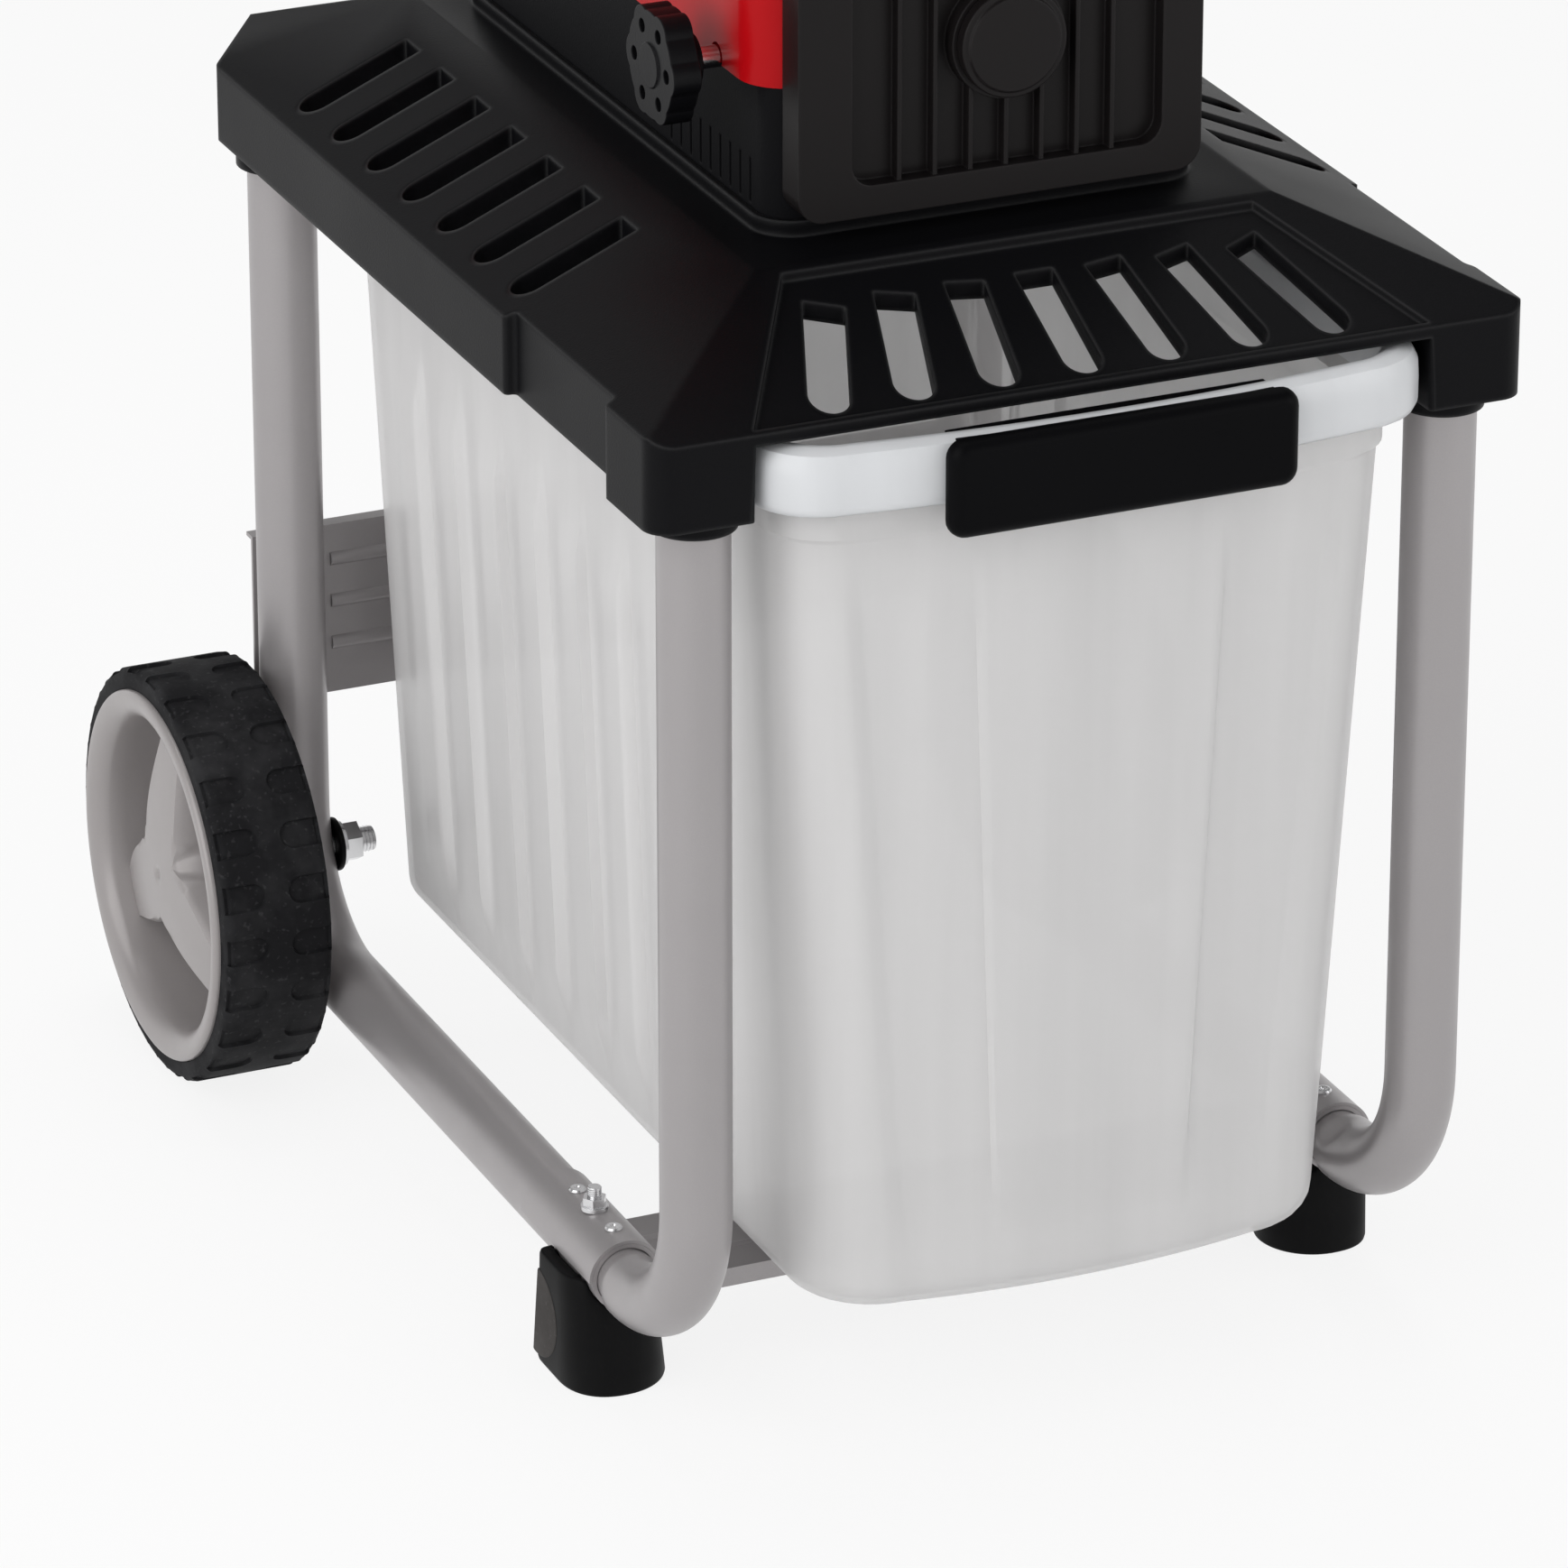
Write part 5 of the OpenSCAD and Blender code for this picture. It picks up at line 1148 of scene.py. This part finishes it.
class SHREDDER_OT_base_plate(bpy.types.Operator):
    """Base plate with soft edges"""

    bl_idname = "shredder.base_plate"
    bl_label = "Base plate"
    bl_options = {"REGISTER", "UNDO"}

    def execute(self, context):
        sizes = context.scene.shredder_sizes
        bm = copy_of("base_plate")
        outer = [e for e in sharp_edges(bm, 30) if self.is_outer(e)]
        upright = [e for e in outer if self.drop(e) > 0.95 * e.calc_length()]
        round_edges(bm, upright, sizes.deck_round / 2, 4)
        hips = [e for e in sharp_edges(bm, 12) if e.is_convex and self.is_hip(e)]
        round_edges(bm, hips, sizes.deck_round, 4)
        round_edges(bm, sharp_edges(bm, 35), sizes.edge_round, 2)
        dressed(bm, "base_plate", "base_plate_moulded", finish("deck"), "frame")
        return {"FINISHED"}

    def drop(self, edge):
        """Height between the ends of an edge."""
        return abs(edge.verts[0].co.z - edge.verts[1].co.z)

    def is_outer(self, edge):
        """True for an edge on the outside of the skirt."""
        side, front, rear = DECK_HIGH.x, DECK_LOW.y, DECK_HIGH.y
        step, play, corner = 0.0055, 0.0005, 0.0125
        for v in edge.verts:
            x, y = abs(v.co.x), v.co.y
            flat = x > side - step or y < front + play or y > rear - play
            if not flat and not (x > side - corner and y < front + corner):
                return False
        return True

    def is_hip(self, edge):
        """True for the long edges that fall from the top to the front corners."""
        least_length, least_drop, crest = 0.08, 0.03, DECK_HIGH.z - 0.0075
        falls = edge.calc_length() > least_length and self.drop(edge) > least_drop
        return falls and max(v.co.z for v in edge.verts) > crest


# Machine body


class SHREDDER_OT_body(bpy.types.Operator):
    """Casing, housing, front cover, cap and hopper"""

    bl_idname = "shredder.body"
    bl_label = "Machine body"
    bl_options = {"REGISTER", "UNDO"}

    def execute(self, context):
        small = context.scene.shredder_sizes.edge_round
        softened("lower_casing", "lower_casing_shell", finish("casing"), "frame", 0.0006, 2)
        self.cover()
        softened("cover_cap", "cover_cap_plain", finish("cover"), "frame", small)
        softened("upper_housing", "upper_housing_shell", finish("red"), "frame", 0.0010, 2)
        softened("hopper", "hopper_shell", finish("casing"), "frame", 0.0010, 2)
        softened("splash_flap", "splash_flap_rubber", finish("foot"), "frame", 0.0004, 1)
        return {"FINISHED"}

    def cover(self):
        """Ribbed cover with a broad rounding round its face."""
        centre, face, broad, small = middle("front_cover"), low("front_cover").y, 0.0055, 0.0007
        bm = copy_of("front_cover")
        around = []
        for e in bm.edges:
            spot = (e.verts[0].co + e.verts[1].co) / 2
            if all(abs(v.co.y - face) < TOUCH for v in e.verts) and e.is_convex:
                side = max(e.link_faces, key=lambda f: f.normal.y)
                if side.normal.dot(spot - centre) > 0:
                    around.append(e)
        round_edges(bm, around, broad, 5)
        round_edges(bm, sharp_edges(bm, 35), small, 2)
        dressed(bm, "front_cover", "front_cover_ribbed", finish("cover"), "frame")


# Node, ending of the piece's name, finish, body and slot of the control panel and what is by it
PANEL_PIECES = (
    ("control_panel", "shell", "casing", "frame", "panel_plastic"),
    ("start_button", "cap", "green", "start", "green_plastic"),
    ("stop_button", "cap", "red", "stop", "red_plastic"),
    ("reset_button", "cap", "knob", "reset", "panel_plastic"),
    ("direction_selector", "knob", "knob", "selector", "panel_plastic"),
    ("mains_inlet", "socket", "casing", "frame", "panel_plastic"),
)


class SHREDDER_OT_controls(bpy.types.Operator):
    """Adjusting knob, buttons, selector and inlet"""

    bl_idname = "shredder.controls"
    bl_label = "Controls"
    bl_options = {"REGISTER", "UNDO"}

    def execute(self, context):
        small = context.scene.shredder_sizes.edge_round
        softened("adjusting_knob", "adjusting_knob_lobed", finish("knob"), "adjuster", small)
        softened("adjusting_screw", "adjusting_screw_bright", finish("chrome"), "adjuster",
                 small / 2, 2)
        for node, ending, key, body, slot in PANEL_PIECES:
            softened(node, f"{node}_{ending}", finish(key), body, small)
        return {"FINISHED"}


# The nodes that stay as they are, by finish
INNER_FINISHES = {
    "steel": ["cutting_roller", "counter_plate", "roller_shaft", "motor_shaft", "output_gear", "first_idler",
              "second_idler", "roller_bearings", "motor_bearings"],
    "alloy": ["cutting_chamber", "gearbox_case", "motor_flange", "rear_shield", "motor_shell"],
    "stack": ["motor_stator", "motor_rotor"],
    "brass": ["threaded_bush"],
    "can": ["start_capacitor"],
    "knob": ["motor_fan"],
}


class SHREDDER_OT_inner_works(bpy.types.Operator):
    """Finishes of the pieces inside the casing"""

    bl_idname = "shredder.inner_works"
    bl_label = "Inner works"
    bl_options = {"REGISTER", "UNDO"}

    def execute(self, context):
        for key, nodes in INNER_FINISHES.items():
            for name in nodes:
                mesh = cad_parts[name].data
                mesh.materials.clear()
                mesh.materials.append(finish(key))
        return {"FINISHED"}


# Stage


def seen_rays(tree):
    """1 for the rays in which the background shows: the camera's, mirrored and refracted ones."""
    path = add_node(tree, "ShaderNodeLightPath").outputs
    most = path["Is Camera Ray"]
    for name in ("Is Glossy Ray", "Is Transmission Ray"):
        most = add_node(tree, "ShaderNodeMath", settings={"operation": "MAXIMUM"},
                        links={0: most, 1: path[name]}).outputs["Value"]
    return most


class SHREDDER_OT_stage(bpy.types.Operator):
    """Floor, light and camera"""

    bl_idname = "shredder.stage"
    bl_label = "Stage"
    bl_options = {"REGISTER", "UNDO"}

    def execute(self, context):
        stage = context.scene.shredder_stage
        context.scene.view_settings.view_transform = "Standard"
        self.camera(context, stage)
        self.floor(context, stage)
        self.world(context)
        self.lamps(context)
        return {"FINISHED"}

    def camera(self, context, stage):
        """Camera on a sphere round the target."""
        a, e = stage.azimuth, stage.elevation
        back = Vector((sin(a) * cos(e), -cos(a) * cos(e), sin(e)))
        data = bpy.data.cameras.new("Camera")
        data.lens = stage.lens
        data.clip_end = 60
        made = bpy.data.objects.new("Camera", data)
        made.location = Vector(stage.target) + back * stage.distance
        made.rotation_euler = (-back).to_track_quat("-Z", "Y").to_euler()
        context.scene.collection.objects.link(made)
        context.scene.camera = made

    def floor(self, context, stage):
        """A wide pale floor that stays white to the camera but keeps the shadow."""
        half, below, whiteness = 12, Matrix.Translation((0, 0, -0.0004)), 0.86
        bm = bmesh.new()
        bmesh.ops.create_grid(bm, x_segments=1, y_segments=1, size=half, matrix=below)
        mesh = bpy.data.meshes.new("floor")
        bm.to_mesh(mesh)
        bm.free()
        made = bpy.data.objects.new("floor", mesh)
        context.scene.collection.objects.link(made)
        material, tree, shader = start_material("Pale floor")
        shader.inputs["Base Color"].default_value = (*stage.floor, 1)
        shader.inputs["Roughness"].default_value = 0.9
        glow = add_node(tree, "ShaderNodeEmission", values={"Color": (1, 1, 1, 1), "Strength": 1.0})
        part = add_node(tree, "ShaderNodeMath", settings={"operation": "MULTIPLY"}, values={1: whiteness},
                        links={0: seen_rays(tree)})
        ends = {1: shader.outputs["BSDF"], 2: glow.outputs["Emission"]}
        mixed = add_node(tree, "ShaderNodeMixShader", links={0: part.outputs["Value"], **ends})
        tree.links.new(mixed.outputs["Shader"], tree.nodes["Material Output"].inputs["Surface"])
        mesh.materials.append(material)

    def world(self, context):
        """White round the horizon and to the camera, dimmer overhead."""
        world = bpy.data.worlds.new("Studio")
        context.scene.world = world
        world.use_nodes = True
        tree = world.node_tree
        back = tree.nodes["Background"]
        way = add_node(tree, "ShaderNodeTexCoord").outputs["Generated"]
        height = add_node(tree, "ShaderNodeSeparateXYZ", links={"Vector": way}).outputs["Z"]
        light = {"From Min": 0.05, "From Max": 0.6, "To Min": 0.75, "To Max": 0.35}
        seen = {"From Min": 0.14, "From Max": 0.5, "To Min": 1.0, "To Max": 0.2}
        dim, clear = (add_node(tree, "ShaderNodeMapRange", values=span, links={"Value": height})
                      for span in (light, seen))
        level = add_node(tree, "ShaderNodeMix", settings={"data_type": "FLOAT"},
                         links={0: seen_rays(tree), 2: dim.outputs["Result"], 3: clear.outputs["Result"]})
        tree.links.new(level.outputs[0], back.inputs["Strength"])
        back.inputs["Color"].default_value = (1, 1, 1, 1)

    def lamps(self, context):
        """Soft boxes: a key from the left front, a fill from the right, one overhead."""
        aim = Vector((0, 0, 0.4))
        for name, place, size, power in (
            ("key", (-2.9, -1.3, 2.2), 3.6, 78),
            ("fill", (2.4, -2.5, 1.4), 2.2, 24),
            ("top", (0.2, 0.6, 3.2), 1.6, 26),
        ):
            data = bpy.data.lights.new(name, "AREA")
            data.shape = "SQUARE"
            data.size = size
            data.energy = power
            made = bpy.data.objects.new(name, data)
            made.location = place
            made.rotation_euler = (aim - Vector(place)).to_track_quat("-Z", "Y").to_euler()
            context.scene.collection.objects.link(made)


OPERATORS = (
    SHREDDER_OT_tube_frame, SHREDDER_OT_tow_bar, SHREDDER_OT_feet, SHREDDER_OT_fasteners, SHREDDER_OT_wheels,
    SHREDDER_OT_collection_box, SHREDDER_OT_base_plate, SHREDDER_OT_body, SHREDDER_OT_controls,
    SHREDDER_OT_inner_works, SHREDDER_OT_stage,
)


class SHREDDER_PT_panel(bpy.types.Panel):
    """Lists the builders and their settings"""

    bl_label = "Garden shredder"
    bl_idname = "SHREDDER_PT_panel"
    bl_space_type = "VIEW_3D"
    bl_region_type = "UI"
    bl_category = "Shredder"

    def draw(self, context):
        for operator in OPERATORS:
            self.layout.operator(operator.bl_idname)
        for group in ("shredder_sizes", "shredder_colours", "shredder_stage"):
            settings = getattr(context.scene, group)
            for key in type(settings).__annotations__:
                self.layout.prop(settings, key)


CLASSES = (ShredderSizes, ShredderColours, ShredderStage, *OPERATORS, SHREDDER_PT_panel)


def register():
    for cls in CLASSES:
        bpy.utils.register_class(cls)
    bpy.types.Scene.shredder_sizes = PointerProperty(type=ShredderSizes)
    bpy.types.Scene.shredder_colours = PointerProperty(type=ShredderColours)
    bpy.types.Scene.shredder_stage = PointerProperty(type=ShredderStage)


def unregister():
    del bpy.types.Scene.shredder_stage
    del bpy.types.Scene.shredder_colours
    del bpy.types.Scene.shredder_sizes
    for cls in reversed(CLASSES):
        bpy.utils.unregister_class(cls)


def main():
    """Builds every piece."""
    register()
    for operator in OPERATORS:
        area, name = operator.bl_idname.split(".")
        getattr(getattr(bpy.ops, area), name)()


if __name__ == "__main__":
    main()
